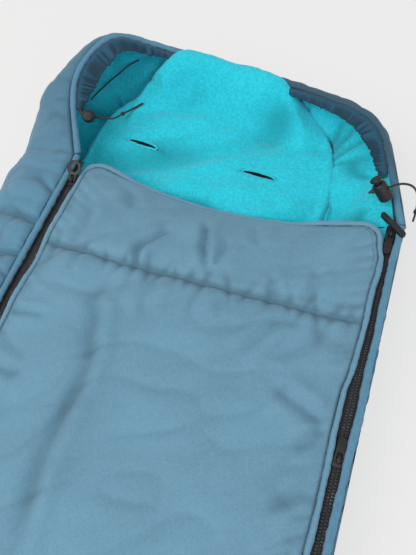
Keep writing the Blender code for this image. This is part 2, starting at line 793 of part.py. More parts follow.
def cover_grid(rows, drop):
    """A grid over the cover, this far under its outside."""
    grid = []
    for y in rows:
        line = []
        for share in COVER_COLUMN_SHARES:
            x = COVER_CENTRE_X + share * cover_half_at(y)
            fullness = puff(share, y)
            line.append(slack(Vector((x, y, RIM_HEIGHT + COVER_CROWN * fullness - drop(fullness)))))
        grid.append(line)
    return grid


def cover_rows():
    """The rows of the lower panel and of the band, split at the quilting seam."""
    corner = [HINGE_Y + GAP + share * COVER_CORNER for share in CORNER_ROW_SHARES]
    top_corner = [COVER_TOP_Y - share * COVER_CORNER for share in reversed(CORNER_ROW_SHARES)]
    run = BAND_SEAM_Y - corner[-1]
    lower = corner + [corner[-1] + share * run for share in LOWER_ROW_SHARES]
    lower += [BAND_SEAM_Y - SEAM_WIDTH, BAND_SEAM_Y]
    band = [BAND_SEAM_Y, BAND_SEAM_Y + SEAM_WIDTH]
    band += [BAND_SEAM_Y + (share + CORNER_ROW_SHARES[1]) * BAND_DEPTH for share in BAND_ROW_SHARES]
    band += top_corner
    return lower, band


def cover_wadding_depth(fullness):
    return COVER_WADDING_EDGE + (COVER_WADDING - COVER_WADDING_EDGE) * fullness


def make_cover(hinge):
    """The cover: outside cloth, two quilted waddings, a fleece lining and its piping."""
    lower, band = cover_rows()
    whole = lower + band[1:]
    under_cloth = FABRIC + GAP
    parts = {"cover_wadding_lower": lower[:-1] + [lower[-1] - GAP], "cover_wadding_band": [band[0] + GAP] + band[1:]}
    closed_sheet(
        "cover_outer", cover_grid(whole, lambda f: 0.0), cover_grid(whole, lambda f: FABRIC), "cover cloth", hinge
    )
    for name, rows in parts.items():
        top = cover_grid(rows, lambda f: under_cloth)
        bottom = cover_grid(rows, lambda f: under_cloth + cover_wadding_depth(f))
        closed_sheet(name, top, bottom, "wadding", hinge)
    top = cover_grid(whole, lambda f: under_cloth + cover_wadding_depth(f) + GAP)
    bottom = cover_grid(whole, lambda f: under_cloth + cover_wadding_depth(f) + GAP + FLEECE)
    closed_sheet("cover_fleece", top, bottom, "fleece", hinge)
    tube("cover_piping", piping_line(), PIPING_RADIUS, "cover cloth", hinge)


def piping_line(steps=5, edge_steps=9):
    """The piping's line up one side of the cover, round its corners, along its free edge and down the other."""
    away = PIPING_RADIUS + GAP
    reach = COVER_CORNER + away
    points = [Vector((COVER_CENTRE_X + COVER_HALF + away, SIDE_FOOT_Y, PIPING_Z))]
    for side, start in ((1, 0), (-1, 90)):
        centre_x = COVER_CENTRE_X + side * (COVER_HALF - COVER_CORNER)
        for step in range(steps + 1):
            angle = math.radians(start + 90 * step / steps)
            x = centre_x + reach * math.cos(angle)
            y = COVER_TOP_Y - COVER_CORNER + reach * math.sin(angle)
            points.append(slack(Vector((x, y, PIPING_Z))))
        if side > 0:
            start_x, finish_x = points[-1].x, 2 * COVER_CENTRE_X - points[-1].x
            for step in range(1, edge_steps):
                x = start_x + (finish_x - start_x) * step / edge_steps
                points.append(slack(Vector((x, COVER_TOP_Y + away, PIPING_Z))))
    points.append(Vector((COVER_CENTRE_X - COVER_HALF - away, SIDE_FOOT_Y, PIPING_Z)))
    return points


def make_zip(side, hinge):
    """A zip's two tapes with their teeth, and the box at its foot."""
    middle = ZIP_X[side]
    foot = SIDE_FOOT_Y + GAP
    teeth_foot = foot + ZIP_BOX_LENGTH + GAP
    cover_top = COVER_TOP_Y - COVER_CORNER
    halves = {
        "shell": (OUTWARDS[side], SHELL_SETBACK - GAP, COVER_TOP_Y, None),
        "cover": (-OUTWARDS[side], COVER_SETBACK - GAP, cover_top, hinge),
    }
    for half, (way, reach, top, parent) in halves.items():
        xs = sorted((middle + way * (TEETH_INNER + TEETH_WIDTH + GAP), middle + way * reach))
        low = (xs[0], foot, ZIP_Z - TAPE / 2)
        high = (xs[1], top, ZIP_Z + TAPE / 2)
        block(f"zip_tape_{half}_{side}", low, high, "black tape", parent)
        xs = sorted((middle + way * TEETH_INNER, middle + way * (TEETH_INNER + TEETH_WIDTH)))
        low = (xs[0], teeth_foot, ZIP_Z - TEETH_HEIGHT / 2)
        high = (xs[1], top, ZIP_Z + TEETH_HEIGHT / 2)
        block(f"zip_teeth_{half}_{side}", low, high, "black plastic", parent)
    half_width = TEETH_INNER + TEETH_WIDTH
    low = (middle - half_width, foot, ZIP_Z - ZIP_BOX_HEIGHT / 2)
    high = (middle + half_width, foot + ZIP_BOX_LENGTH, ZIP_Z + ZIP_BOX_HEIGHT / 2)
    block(f"zip_box_{side}", low, high, "black plastic")


def slider_outline():
    """A slider's section: two plates joined by a web, with a slit each side for the tape."""
    half = SLIDER_WIDTH / 2
    inner = half - SLIDER_FLANGE
    top = SLIDER_HALF_HEIGHT
    ceiling = top - SLIDER_PLATE
    slit = TAPE_SLIT / 2
    web = SLIDER_WEB / 2
    right = [(half, top), (half, slit), (inner, slit), (inner, ceiling), (web, ceiling)]
    quarter = right + [(x, -z) for x, z in reversed(right)]
    return quarter + [(-x, z) for x, z in reversed(quarter)]


def make_slider(name, side, y, parent, with_nose=False):
    """A slider with the crown that its pull hangs on, and a nose that takes a swivelling grip."""
    middle = ZIP_X[side]
    standing = Matrix.Rotation(math.radians(90), 4, "X")
    start = Matrix.Translation((middle, y + SLIDER_LENGTH / 2, ZIP_Z))
    body = prism(name, slider_outline(), SLIDER_LENGTH, "black plastic", parent, start @ standing)
    floor = ZIP_Z + SLIDER_HALF_HEIGHT - SLIDER_PLATE / 2
    roof = ZIP_Z + SLIDER_HALF_HEIGHT + CROWN_HEIGHT
    reach = CROWN_LENGTH / 2
    inside = reach - CROWN_LEG
    arch = [(-reach, floor), (-inside, floor), (-inside, roof - CROWN_LEG), (inside, roof - CROWN_LEG)]
    arch += [(inside, floor), (reach, floor), (reach, roof), (-reach, roof)]
    across = Matrix(((0, 0, 1), (1, 0, 0), (0, 1, 0))).to_4x4()
    spot = Matrix.Translation((middle - CROWN_WIDTH / 2, y - CROWN_SETBACK, 0.0))
    crown = prism(f"{name}_crown", arch, CROWN_WIDTH, "black plastic", parent, spot @ across)
    combine(body, crown, "UNION")
    if with_nose:
        seat = Matrix.Translation((middle, y + NOSE_SETBACK - NOSE_RADIUS / 2, floor))
        height = SLIDER_PLATE / 2 + NOSE_HEIGHT
        profile = ((0, 0.0), (NOSE_RADIUS, 0.0), (NOSE_RADIUS, height), (0, height))
        nose = turned(f"{name}_nose", profile, "black plastic", parent, seat, 12)
        combine(body, nose, "UNION")
        bore = GRIP_PIN_RADIUS + GRIP_PIN_CLEARANCE
        profile = ((0, SLIDER_PLATE / 2), (bore, SLIDER_PLATE / 2), (bore, height + OVERRUN), (0, height + OVERRUN))
        drill = turned(f"{name}_drill", profile, "black plastic", parent, seat, 12)
        combine(body, drill, "DIFFERENCE")
    return body


def pull_outline(length, width):
    """A pull's plan from its hinge bar at the origin, along +X, with a round far end."""
    half = width / 2
    edge = PULL_THICKNESS / 2
    neck = CROWN_WIDTH / 2 + PULL_ARM_CLEARANCE + PULL_ARM
    shoulder = edge + PULL_HOLE_LENGTH
    side = [(-edge, neck), (shoulder, neck), (shoulder + abs(half - neck), half)]
    round_end = []
    for step in range(7):
        angle = math.radians(90 - 30 * step)
        round_end.append((length - half + half * math.cos(angle), half * math.sin(angle)))
    return side + round_end + [(x, -y) for x, y in reversed(side)]


def make_pull(name, side, y, kind, parent):
    """A pull on its hinge bar, inside the slider's crown."""
    sizes = {
        "tab": (TAB_LENGTH, 2 * (CROWN_WIDTH / 2 + PULL_ARM_CLEARANCE + PULL_ARM), math.radians(-90), 0.0),
        "finger": (FINGER_LENGTH, 2 * (CROWN_WIDTH / 2 + PULL_ARM_CLEARANCE + PULL_ARM), math.radians(90), 0.0),
        "ring": (RING_LENGTH, RING_WIDTH, math.radians(90), RING_TILT),
    }
    length, width, heading, tilt = sizes[kind]
    pivot = Vector((ZIP_X[side], y - CROWN_SETBACK, PULL_AXIS_Z))
    turn = Matrix.Translation(pivot) @ Matrix.Rotation(heading, 4, "Z") @ Matrix.Rotation(-tilt, 4, "Y")
    lower = Matrix.Translation((0.0, 0.0, -PULL_THICKNESS / 2))
    body = prism(name, pull_outline(length, width), PULL_THICKNESS, "black plastic", parent, turn @ lower)
    reach = CROWN_WIDTH / 2 + PULL_ARM_CLEARANCE
    edge = PULL_THICKNESS / 2
    hole = [(edge, -reach), (edge + PULL_HOLE_LENGTH, -reach), (edge + PULL_HOLE_LENGTH, reach), (edge, reach)]
    through = Matrix.Translation((0.0, 0.0, -OVERRUN))
    cutter = prism(f"{name}_hole", hole, 2 * OVERRUN, "black plastic", parent, turn @ through)
    combine(body, cutter, "DIFFERENCE")
    if kind == "ring":
        start = edge + PULL_HOLE_LENGTH + RING_WALL
        finish = length - RING_WALL
        across = width / 2 - RING_WALL
        window = [(x + (start + finish) / 2, z) for x, z in stadium(finish - start, 2 * across)]
        cutter = prism(f"{name}_window", window, 2 * OVERRUN, "black plastic", parent, turn @ through)
        combine(body, cutter, "DIFFERENCE")
    return body


def make_grip(side, y, parent):
    """The bar that swivels on a pin in the slider's nose."""
    floor = WELT_Z + WELT_RADIUS + 2 * GAP
    axis = Vector((ZIP_X[side], y + NOSE_SETBACK - NOSE_RADIUS / 2, floor))
    turn = Matrix.Translation(axis) @ Matrix.Rotation(GRIP_TURN, 4, "Z")
    bar = prism(
        "zip_grip_right", stadium(GRIP_LENGTH, GRIP_WIDTH), GRIP_HEIGHT, "black plastic", parent, turn
    )
    seat = ZIP_Z + SLIDER_HALF_HEIGHT + 2 * GAP
    base = Matrix.Translation((axis.x, axis.y, seat))
    height = floor - seat + GRIP_HEIGHT / 2
    profile = ((0, 0.0), (GRIP_PIN_RADIUS, 0.0), (GRIP_PIN_RADIUS, height), (0, height))
    pin = turned("zip_grip_pin", profile, "black plastic", parent, base, 12)
    combine(bar, pin, "UNION")


def slider_places():
    """Each slider's name, side, place and kind of pull."""
    return (
        ("zip_slider_left", "left", COVER_TOP_Y - LEFT_SLIDER_DROP, "ring"),
        ("zip_slider_right", "right", COVER_TOP_Y - RIGHT_SLIDER_DROP, "tab"),
        ("lower_slider_left", "left", COVER_TOP_Y - LOWER_SLIDER_DROP, "finger"),
        ("lower_slider_right", "right", COVER_TOP_Y - LOWER_SLIDER_DROP, "finger"),
    )


def make_lock(side, route):
    """A cord lock: a bored barrel, a plunger with a button, and the spring under it."""
    at = LOCK_POINTS[side]
    before, centre, after = (Vector(point) for point in route[at - 1 : at + 2])
    turn = frame_along(centre, after - before, BUTTON_WAY_SHARES[side])
    frame = empty(f"{side}_lock_frame", centre)
    roof = LOCK_ABOVE_CORD
    foot = -LOCK_BELOW_CORD
    bore_floor = foot + LOCK_FLOOR
    rounding = LOCK_RADIUS / 5
    profile = (
        (0, foot),
        (LOCK_RADIUS - rounding, foot),
        (LOCK_RADIUS, foot + rounding),
        (LOCK_RADIUS, roof - rounding),
        (LOCK_RADIUS - rounding, roof),
        (LOCK_BORE, roof),
        (LOCK_BORE, bore_floor),
        (0, bore_floor),
    )
    barrel = turned(f"lock_barrel_{side}", profile, "black plastic", frame, turn)
    sideways = Matrix.Rotation(math.radians(90), 4, "Y")
    reach = LOCK_RADIUS + OVERRUN
    rod = ((0, -reach), (LOCK_CORD_HOLE, -reach), (LOCK_CORD_HOLE, reach), (0, reach))
    combine(barrel, turned(f"lock_hole_{side}", rod, "black plastic", frame, turn @ sideways, 12), "DIFFERENCE")
    stem = LOCK_BORE - PLUNGER_CLEARANCE
    top = roof + PLUNGER_TRAVEL + GAP
    stem_floor = -LOCK_CORD_HOLE - PLUNGER_HEEL
    button = (
        (0, stem_floor),
        (stem, stem_floor),
        (stem, top),
        (BUTTON_RADIUS, top),
        (BUTTON_RADIUS, top + BUTTON_HEIGHT - rounding),
        (BUTTON_RADIUS - rounding, top + BUTTON_HEIGHT),
        (0, top + BUTTON_HEIGHT),
    )
    plunger = turned(f"lock_plunger_{side}", button, "black plastic", frame, turn)
    slot_length = 2 * LOCK_CORD_HOLE + PLUNGER_TRAVEL
    slot = stadium(slot_length, 2 * LOCK_CORD_HOLE)
    lift = Matrix.Translation((0.0, 0.0, PLUNGER_TRAVEL / 2))
    across = Matrix(((0, 0, 1), (0, 1, 0), (-1, 0, 0))).to_4x4()
    inside = Matrix.Translation((0.0, 0.0, -reach))
    cutter = prism(f"plunger_slot_{side}", slot, 2 * reach, "black plastic", frame, turn @ lift @ across @ inside)
    combine(plunger, cutter, "DIFFERENCE")
    make_spring(side, turn, bore_floor + GAP, stem_floor - GAP, stem - GAP, frame)


def make_spring(side, turn, floor, ceiling, radius, frame):
    """The coil spring between the bore's floor and the plunger."""
    centre_radius = radius - SPRING_WIRE
    low = floor + SPRING_WIRE
    rise = ceiling - SPRING_WIRE - low
    count = SPRING_TURNS * SPRING_POINTS
    points = []
    for k in range(count + 1):
        angle = math.tau * k / SPRING_POINTS
        spot = Vector((centre_radius * math.cos(angle), centre_radius * math.sin(angle), low + rise * k / count))
        points.append(turn @ spot)
    print(f"lock spring {side}: least gap between turns {rise / SPRING_TURNS - 2 * SPRING_WIRE:.6f} m")
    tube(f"lock_spring_{side}", points, SPRING_WIRE, "spring steel", frame, 1)


def make_tail(side, route, mouth):
    """A free end of the draw cord from the channel's mouth, and the knot tied in it."""
    points = evenly_spaced([mouth, *route], TAIL_POINTS)
    tube(f"cord_tail_{side}", points, CORD_DIAMETER / 2, "black tape")
    at = round(KNOT_SHARES[side] * (TAIL_POINTS - 1))
    turn = frame_along(points[at], points[at + 1] - points[at - 1], (0.0, 0.0, 1.0))
    upright = Matrix.Rotation(math.radians(90), 4, "Y")
    bore = CORD_DIAMETER / 2 + GAP
    half = KNOT_LENGTH / 2
    waist = (KNOT_RADIUS + bore) / 2
    profile = ((waist, -half), (KNOT_RADIUS, -half / 2), (KNOT_RADIUS, half / 2), (waist, half), (bore, half), (bore, -half))
    turned(f"cord_knot_{side}", profile, "black tape", None, turn @ upright, 10)
    length = sum((second - first).length for first, second in zip(points, points[1:]))
    print(f"cord tail {side}: {length:.4f} m")


def make_loop():
    """The hanging loop along the hood's lining, which its ends lie on."""
    grid, normals = wall_surface(hood_stations())
    lining = inset_grid(grid, normals, lambda k: FABRIC + 2 * GAP + wadding_depth(k) + FLEECE)
    points = []
    for step in range(LOOP_POINTS):
        share = step / (LOOP_POINTS - 1)
        along, up = (a + (b - a) * share for a, b in zip(LOOP_START_SHARES, LOOP_FINISH_SHARES))
        spot, normal = (on_grid(rows, along, up) for rows in (lining, normals))
        points.append(spot - normal * (LOOP_SEAT + LOOP_DIAMETER / 2 + LOOP_SAG * math.sin(math.pi * share)))
    tube("hanging_loop", points, LOOP_DIAMETER / 2, "black tape")


def on_grid(grid, along, up):
    """The point at two shares of a grid's rows and columns."""
    row, column = along * (len(grid) - 1), up * (len(grid[0]) - 1)
    i, k = int(row), int(column)
    lower, upper = (line[k].lerp(line[k + 1], column - k) for line in (grid[i], grid[i + 1]))
    return lower.lerp(upper, row - i)


def main():
    for old in list(bpy.data.objects):
        bpy.data.objects.remove(old)
    make_back()
    for side in ("left", "right"):
        make_wall(f"{side}_gusset", side_stations(side))
    make_wall("hood", hood_stations())
    make_wall("foot_gusset", foot_stations())
    make_welts()
    mouths = make_channel()
    hinge = empty("cover_hinge", (COVER_CENTRE_X, HINGE_Y, RIM_HEIGHT))
    make_cover(hinge)
    for side, route in (("left", LEFT_TAIL_ROUTE), ("right", RIGHT_TAIL_ROUTE)):
        make_zip(side, hinge)
        make_lock(side, route)
        make_tail(side, route, mouths[side])
    for name, side, y, kind in slider_places():
        frame = empty(f"{name}_frame", (ZIP_X[side], y, ZIP_Z))
        pivot = empty(f"{name}_pull_frame", (ZIP_X[side], y - CROWN_SETBACK, PULL_AXIS_Z))
        has_grip = name == "zip_slider_right"
        make_slider(name, side, y, frame, has_grip)
        make_pull(name.replace("slider", "pull"), side, y, kind, pivot)
        if has_grip:
            make_grip(side, y, frame)
    make_loop()


main()
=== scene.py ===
import json
import math

import bmesh
import bpy
import numpy as np
from mathutils import Matrix, Vector, kdtree, noise
from mathutils.bvhtree import BVHTree

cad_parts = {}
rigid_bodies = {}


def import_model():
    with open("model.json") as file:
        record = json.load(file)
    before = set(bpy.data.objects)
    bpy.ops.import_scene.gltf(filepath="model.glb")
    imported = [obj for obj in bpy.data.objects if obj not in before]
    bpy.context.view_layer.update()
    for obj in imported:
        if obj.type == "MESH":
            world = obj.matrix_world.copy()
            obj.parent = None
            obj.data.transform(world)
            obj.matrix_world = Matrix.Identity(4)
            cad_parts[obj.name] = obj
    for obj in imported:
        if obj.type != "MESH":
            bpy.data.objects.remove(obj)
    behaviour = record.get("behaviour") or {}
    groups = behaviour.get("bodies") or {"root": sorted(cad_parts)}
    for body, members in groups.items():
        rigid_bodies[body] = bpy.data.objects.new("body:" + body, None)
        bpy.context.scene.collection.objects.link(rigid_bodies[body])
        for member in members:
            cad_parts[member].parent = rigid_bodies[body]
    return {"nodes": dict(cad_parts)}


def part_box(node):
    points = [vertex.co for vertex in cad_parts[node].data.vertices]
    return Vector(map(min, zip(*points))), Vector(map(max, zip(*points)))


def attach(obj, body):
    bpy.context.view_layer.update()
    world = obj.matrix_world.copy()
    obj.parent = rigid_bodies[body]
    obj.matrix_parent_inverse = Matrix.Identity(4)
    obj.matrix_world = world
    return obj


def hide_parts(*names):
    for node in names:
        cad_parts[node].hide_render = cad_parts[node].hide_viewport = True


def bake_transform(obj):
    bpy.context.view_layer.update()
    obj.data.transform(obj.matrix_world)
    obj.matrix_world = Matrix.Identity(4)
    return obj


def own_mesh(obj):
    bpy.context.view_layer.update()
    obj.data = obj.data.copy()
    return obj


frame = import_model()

for spare in [o for o in bpy.data.objects if o.name in ("Cube", "Light", "Camera")]:
    bpy.data.objects.remove(spare)
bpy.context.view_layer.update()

# The cover's place and size, its quilted line, and the rim's height
COVER_LOW, COVER_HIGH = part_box("cover_outer")
COVER_MIDDLE = (COVER_LOW.x + COVER_HIGH.x) / 2
COVER_HALF = (COVER_HIGH.x - COVER_LOW.x) / 2
COVER_CORNER = 0.022
COVER_TOP = 0.2602
QUILT_Y = 0.1472
RIM_HEIGHT = 0.0862
# How thick the cloth and the fleece are
CLOTH_DEPTH = 0.0009
FLEECE_DEPTH = 0.0018
# Points closer than this are one point
MERGE = 2e-6
SIDES = ("left", "right")


def placed(name, data):
    """A new object in the scene."""
    item = bpy.data.objects.new(name, data)
    bpy.context.scene.collection.objects.link(item)
    return item


# The camera looks down over the cover's right half, towards the head end
PICTURE_WIDTH = 416
FOCAL_PIXELS = 560
eye = Vector((0.18738792, -0.07939917, 0.57686286))
to_right = Vector((0.94166, 0.32314, -0.09411))
downwards = Vector((0.24483, -0.84955, -0.46726))
ahead = Vector((-0.23094, 0.41696, -0.87910))
camera = placed("camera", bpy.data.cameras.new("camera"))
camera.data.sensor_fit = "HORIZONTAL"
camera.data.sensor_width = 36.0
camera.data.lens = camera.data.sensor_width * FOCAL_PIXELS / PICTURE_WIDTH
camera.data.clip_start = 0.01
turned = Matrix((to_right, -downwards, -ahead)).transposed().to_4x4()
camera.matrix_world = Matrix.Translation(eye) @ turned
bpy.context.scene.camera = camera


# Materials


class Wire:
    """A number that runs through a material, for use in sums."""

    def __init__(self, finish, socket):
        self.finish = finish
        self.socket = socket

    def sum(self, operation, first, second):
        return self.finish.node("ShaderNodeMath", {"operation": operation}, {0: first, 1: second})

    def __add__(self, other):
        return self.sum("ADD", self, other)

    def __radd__(self, other):
        return self.sum("ADD", other, self)

    def __sub__(self, other):
        return self.sum("SUBTRACT", self, other)

    def __rsub__(self, other):
        return self.sum("SUBTRACT", other, self)

    def __mul__(self, other):
        return self.sum("MULTIPLY", self, other)

    def __rmul__(self, other):
        return self.sum("MULTIPLY", other, self)

    def __truediv__(self, other):
        return self.sum("DIVIDE", self, other)


class Finish:
    """A material, built from the shader outwards."""

    def __init__(self, name, **fixed):
        self.material = bpy.data.materials.new(name)
        self.material.use_nodes = True
        self.tree = self.material.node_tree
        self.shader = self.tree.nodes["Principled BSDF"]
        for socket, value in fixed.items():
            self.shader.inputs[socket.replace("_", " ")].default_value = value

    def node(self, kind, settings=None, sockets=None, output=0):
        """Adds a node with its settings and its sockets' values or wires, and gives one of its outputs."""
        made = self.tree.nodes.new(kind)
        for name, value in (settings or {}).items():
            setattr(made, name, value)
        for name, value in (sockets or {}).items():
            if isinstance(value, Wire):
                self.tree.links.new(value.socket, made.inputs[name])
            else:
                made.inputs[name].default_value = value
        return Wire(self, made.outputs[output])

    def feed(self, socket, wire):
        self.tree.links.new(wire.socket, self.shader.inputs[socket])

    def place(self):
        return self.node("ShaderNodeTexCoord", output="Object")

    def along_cloth(self):
        return self.node("ShaderNodeUVMap", {"uv_map": "cloth"})

    def number(self, name):
        """A number that the mesh carries at its points."""
        return self.node("ShaderNodeAttribute", {"attribute_name": name}, output="Fac")

    def mapped(self, wire, **changes):
        """A place that is stretched or turned."""
        return self.node("ShaderNodeMapping", {}, {"Vector": wire, **changes})

    def noise(self, vector, scale, detail=2.0, roughness=0.5):
        return self.node(
            "ShaderNodeTexNoise", {}, {"Vector": vector, "Scale": scale, "Detail": detail, "Roughness": roughness}
        )

    def bands(self, vector, direction, scale, **more):
        """Even ribs that follow each other in one direction."""
        settings = {"wave_type": "BANDS", "bands_direction": direction}
        return self.node("ShaderNodeTexWave", settings, {"Vector": vector, "Scale": scale, **more})

    def step(self, wire, low, high, start=0.0, finish=1.0):
        """Maps a range of numbers to another, held at its ends."""
        return self.node(
            "ShaderNodeMapRange",
            {"interpolation_type": "SMOOTHSTEP"},
            {"Value": wire, 1: low, 2: high, 3: start, 4: finish},
        )

    def mix(self, share, first, second):
        """A colour between two colours."""
        return self.node("ShaderNodeMix", {"data_type": "RGBA"}, {0: share, 6: first, 7: second}, output=2)

    def bump(self, height, distance, strength=1.0, normal=None):
        sockets = {"Height": height, "Distance": distance, "Strength": strength}
        if normal is not None:
            sockets["Normal"] = normal
        return self.node("ShaderNodeBump", {}, sockets)


def shade(colour, factor):
    """A colour made lighter or darker, as a material takes it."""
    return tuple(part * factor for part in colour) + (1.0,)


def linear(red, green, blue):
    """A colour as it is written in a picture, as light."""
    return tuple((part / 255) ** 2.2 for part in (red, green, blue))


STITCH_LENGTH = 0.0032


def cloth_finish(name, colour):
    """Closely woven polyester: heathered threads both ways, with painted shade in its creases and on its sides turned
    from the light, and a stitched line by a seam.
    """
    finish = Finish(name, Roughness=0.72, Sheen_Weight=0.25, Sheen_Roughness=0.45, Specular_IOR_Level=0.28)
    place = finish.place()
    weave_place = finish.along_cloth()
    patches = finish.noise(place, 14.0, 3.0)
    lengthwise = finish.noise(finish.mapped(weave_place, Scale=(1700.0, 190.0, 1.0)), 1.0, 2.0, 0.6)
    crosswise = finish.noise(finish.mapped(weave_place, Scale=(190.0, 1700.0, 1.0)), 1.0, 2.0, 0.6)
    streaks = lengthwise * 0.5 + crosswise * 0.5
    flecks = finish.noise(place, 760.0, 2.0, 0.7)
    fold = finish.number("fold")
    off = finish.number("off")
    along = finish.number("along")
    dash = finish.node("ShaderNodeMath", {"operation": "FRACT"}, {0: along / STITCH_LENGTH})
    dash = finish.step(dash, 0.18, 0.34) * finish.step(dash, 0.80, 0.94, 1.0, 0.0)
    row = finish.step(off, 0.0036, 0.0040) * finish.step(off, 0.0046, 0.0050, 1.0, 0.0)
    stitch = dash * row
    tone = finish.step(patches, 0.30, 0.70) * 0.26 + finish.step(streaks, 0.36, 0.64) * 0.42
    tone = tone + finish.step(flecks, 0.30, 0.70) * 0.32
    base = finish.mix(tone, shade(colour, 0.82), shade(colour, 1.18))
    # Painted shade in the creases that the mesh marks
    base = finish.mix(finish.step(fold, 0.15, 1.0, 0.0, 0.62), base, shade(colour, 0.42))
    base = finish.mix(stitch * 0.55, base, shade(colour, 0.50))
    # Painted shade on the sides turned from the light, from the mesh's away number
    base = finish.mix(finish.number("away") * 0.8, base, shade(colour, 0.26))
    finish.feed("Base Color", base)
    finish.feed("Roughness", finish.step(patches, 0.2, 0.8, 0.66, 0.80))
    soft = finish.noise(place, 130.0, 3.0, 0.6)
    relief = finish.bump(soft, 0.0012, 0.35)
    relief = finish.bump(streaks, 0.0004, 0.40, relief)
    relief = finish.bump(stitch - row * 0.8, 0.0008, 0.6, relief)
    finish.feed("Normal", relief)
    return finish.material


def fleece_finish(name, colour):
    """Short velvety pile, brushed this way and that, so that it is mottled at two sizes, with painted shade in its
    folds.
    """
    finish = Finish(name, Roughness=0.92, Sheen_Weight=0.55, Sheen_Roughness=0.35, Specular_IOR_Level=0.12)
    finish.shader.inputs["Sheen Tint"].default_value = (0.62, 0.96, 1.0, 1.0)
    place = finish.place()
    warp = finish.noise(place, 30.0, 2.0)
    pile = finish.noise(place, 760.0, 3.0, 0.70)
    tufts = finish.noise(place, 260.0, 3.0, 0.65)
    brushed = finish.noise(place, 22.0, 4.0, 0.6)
    fold = finish.number("fold")
    tone = finish.step(pile, 0.36, 0.64) * 0.42 + finish.step(tufts, 0.36, 0.64) * 0.30 + brushed * 0.20 + warp * 0.14
    base = finish.mix(tone, shade(colour, 0.70), shade(colour, 1.22))
    # Painted shade in the fleece's folds and hollows
    base = finish.mix(finish.step(fold, 0.15, 1.0, 0.0, 0.75), base, shade(colour, 0.36))
    finish.feed("Base Color", base)
    relief = finish.bump(tufts, 0.0022, 0.55)
    relief = finish.bump(pile, 0.0010, 0.75, relief)
    finish.feed("Normal", relief)
    return finish.material


def tape_finish():
    """Ribbed black zip tape."""
    finish = Finish("black tape", Roughness=0.82, Specular_IOR_Level=0.30, Sheen_Weight=0.12)
    ribs = finish.bands(finish.along_cloth(), "Y", 260.0, Distortion=0.4, Detail=1.0)
    dust = finish.noise(finish.place(), 260.0, 3.0, 0.6)
    tone = ribs * 0.6 + dust * 0.4
    finish.feed("Base Color", finish.mix(tone, (0.010, 0.011, 0.013, 1.0), (0.046, 0.048, 0.054, 1.0)))
    finish.feed("Normal", finish.bump(ribs, 0.0004, 0.6))
    return finish.material


def cord_finish():
    """Braided black cord: two sets of threads that cross."""
    finish = Finish("black cord", Roughness=0.66, Specular_IOR_Level=0.35, Sheen_Weight=0.2)
    weave_place = finish.along_cloth()
    threads = [
        finish.bands(finish.mapped(weave_place, Rotation=(0.0, 0.0, slant)), "X", 330.0) for slant in (0.96, -0.96)
    ]
    braid = threads[0] * 0.5 + threads[1] * 0.5
    finish.feed("Base Color", finish.mix(braid, (0.007, 0.007, 0.009, 1.0), (0.052, 0.052, 0.058, 1.0)))
    finish.feed("Normal", finish.bump(braid, 0.0004, 0.8))
    return finish.material


def plastic_finish(name, colour, roughness):
    """Moulded black plastic with a fine grain, rubbed paler in places; on the zip teeth the paler patches also stand
    for painted glints.
    """
    finish = Finish(name, Specular_IOR_Level=0.5)
    place = finish.place()
    grain = finish.noise(place, 1500.0, 2.0)
    rubs = finish.noise(place, 170.0, 4.0, 0.65)
    # Paler patches: rubbed wear on the hardware, painted glints on the zip teeth
    wear_and_glint = finish.step(rubs, 0.50, 0.78)
    finish.feed("Base Color", finish.mix(wear_and_glint, shade(colour, 1.0), shade(colour, 3.2)))
    finish.feed("Roughness", finish.step(rubs, 0.3, 0.75, roughness, roughness + 0.22))
    finish.feed("Normal", finish.bump(grain, 0.0001, 0.35))
    return finish.material


def steel_finish():
    """Drawn spring wire."""
    finish = Finish("spring steel", Metallic=1.0)
    drawn = finish.noise(finish.place(), 700.0, 2.0)
    finish.feed("Base Color", finish.mix(drawn, (0.40, 0.40, 0.42, 1.0), (0.68, 0.68, 0.70, 1.0)))
    finish.feed("Roughness", finish.step(drawn, 0.3, 0.7, 0.24, 0.40))
    return finish.material


# Each slot's finish, and three finishes that differ from their slot's
FINISHES = {
    # The shell cloth is the cover's fabric set a little darker: painted shade for the walls, which get less light
    # than the cover
    "shell_cloth": cloth_finish("shell cloth", linear(92, 139, 165)),
    "cover_cloth": cloth_finish("cover cloth", linear(107, 150, 173)),
    "fleece": fleece_finish("fleece", linear(54, 213, 233)),
    "black_tape": tape_finish(),
    "black_plastic": plastic_finish("black plastic", (0.014, 0.013, 0.015), 0.36),
    "spring_steel": steel_finish(),
}
# The channel's cloth: the shell's cloth made darker, painted shade for a channel turned from the light
CASING_CLOTH_PAINTED_SHADE = cloth_finish("casing cloth", linear(40, 86, 110))
CORD = cord_finish()
# The zip teeth: black plastic made paler, with paler patches, as painted glints
TEETH_PAINTED_GLINTS = plastic_finish("zip teeth", (0.062, 0.062, 0.068), 0.22)
for node in frame["nodes"].values():
    for held in node.material_slots:
        if held.material is not None:
            held.material = FINISHES.get(held.material.name.split(".")[0], held.material)


# Shaping


def threes(items, name):
    """Three numbers from each of a mesh's items."""
    found = np.empty(len(items) * 3)
    items.foreach_get(name, found)
    return found.reshape(-1, 3)


def points_of(data):
    return threes(data.vertices, "co")


def put_points(data, spots):
    data.vertices.foreach_set("co", np.ascontiguousarray(spots, dtype=np.float32).ravel())
    data.update()


def normals_of(data):
    return threes(data.vertex_normals, "vector")


def lumps(spots, size, seed):
    """Smooth noise from about -1 to 1 whose lumps have this size, which may differ along X, Y and Z."""
    scaled = spots / np.array(size) + seed * 17.31
    return np.array([noise.noise(spot) for spot in scaled.tolist()])


def veins(spots, size, seed, sharpness=1.0, thinness=2.2):
    """Thin crooked lines, 1 on a line and 0 away from it."""
    return np.clip(1 - thinness * np.abs(lumps(spots, size, seed)), 0, 1) ** sharpness


def on_plane(first, second):
    """Two lengths at each point, as a place on a plane that noise is read from."""
    return np.stack([first, second, first * 0], 1)


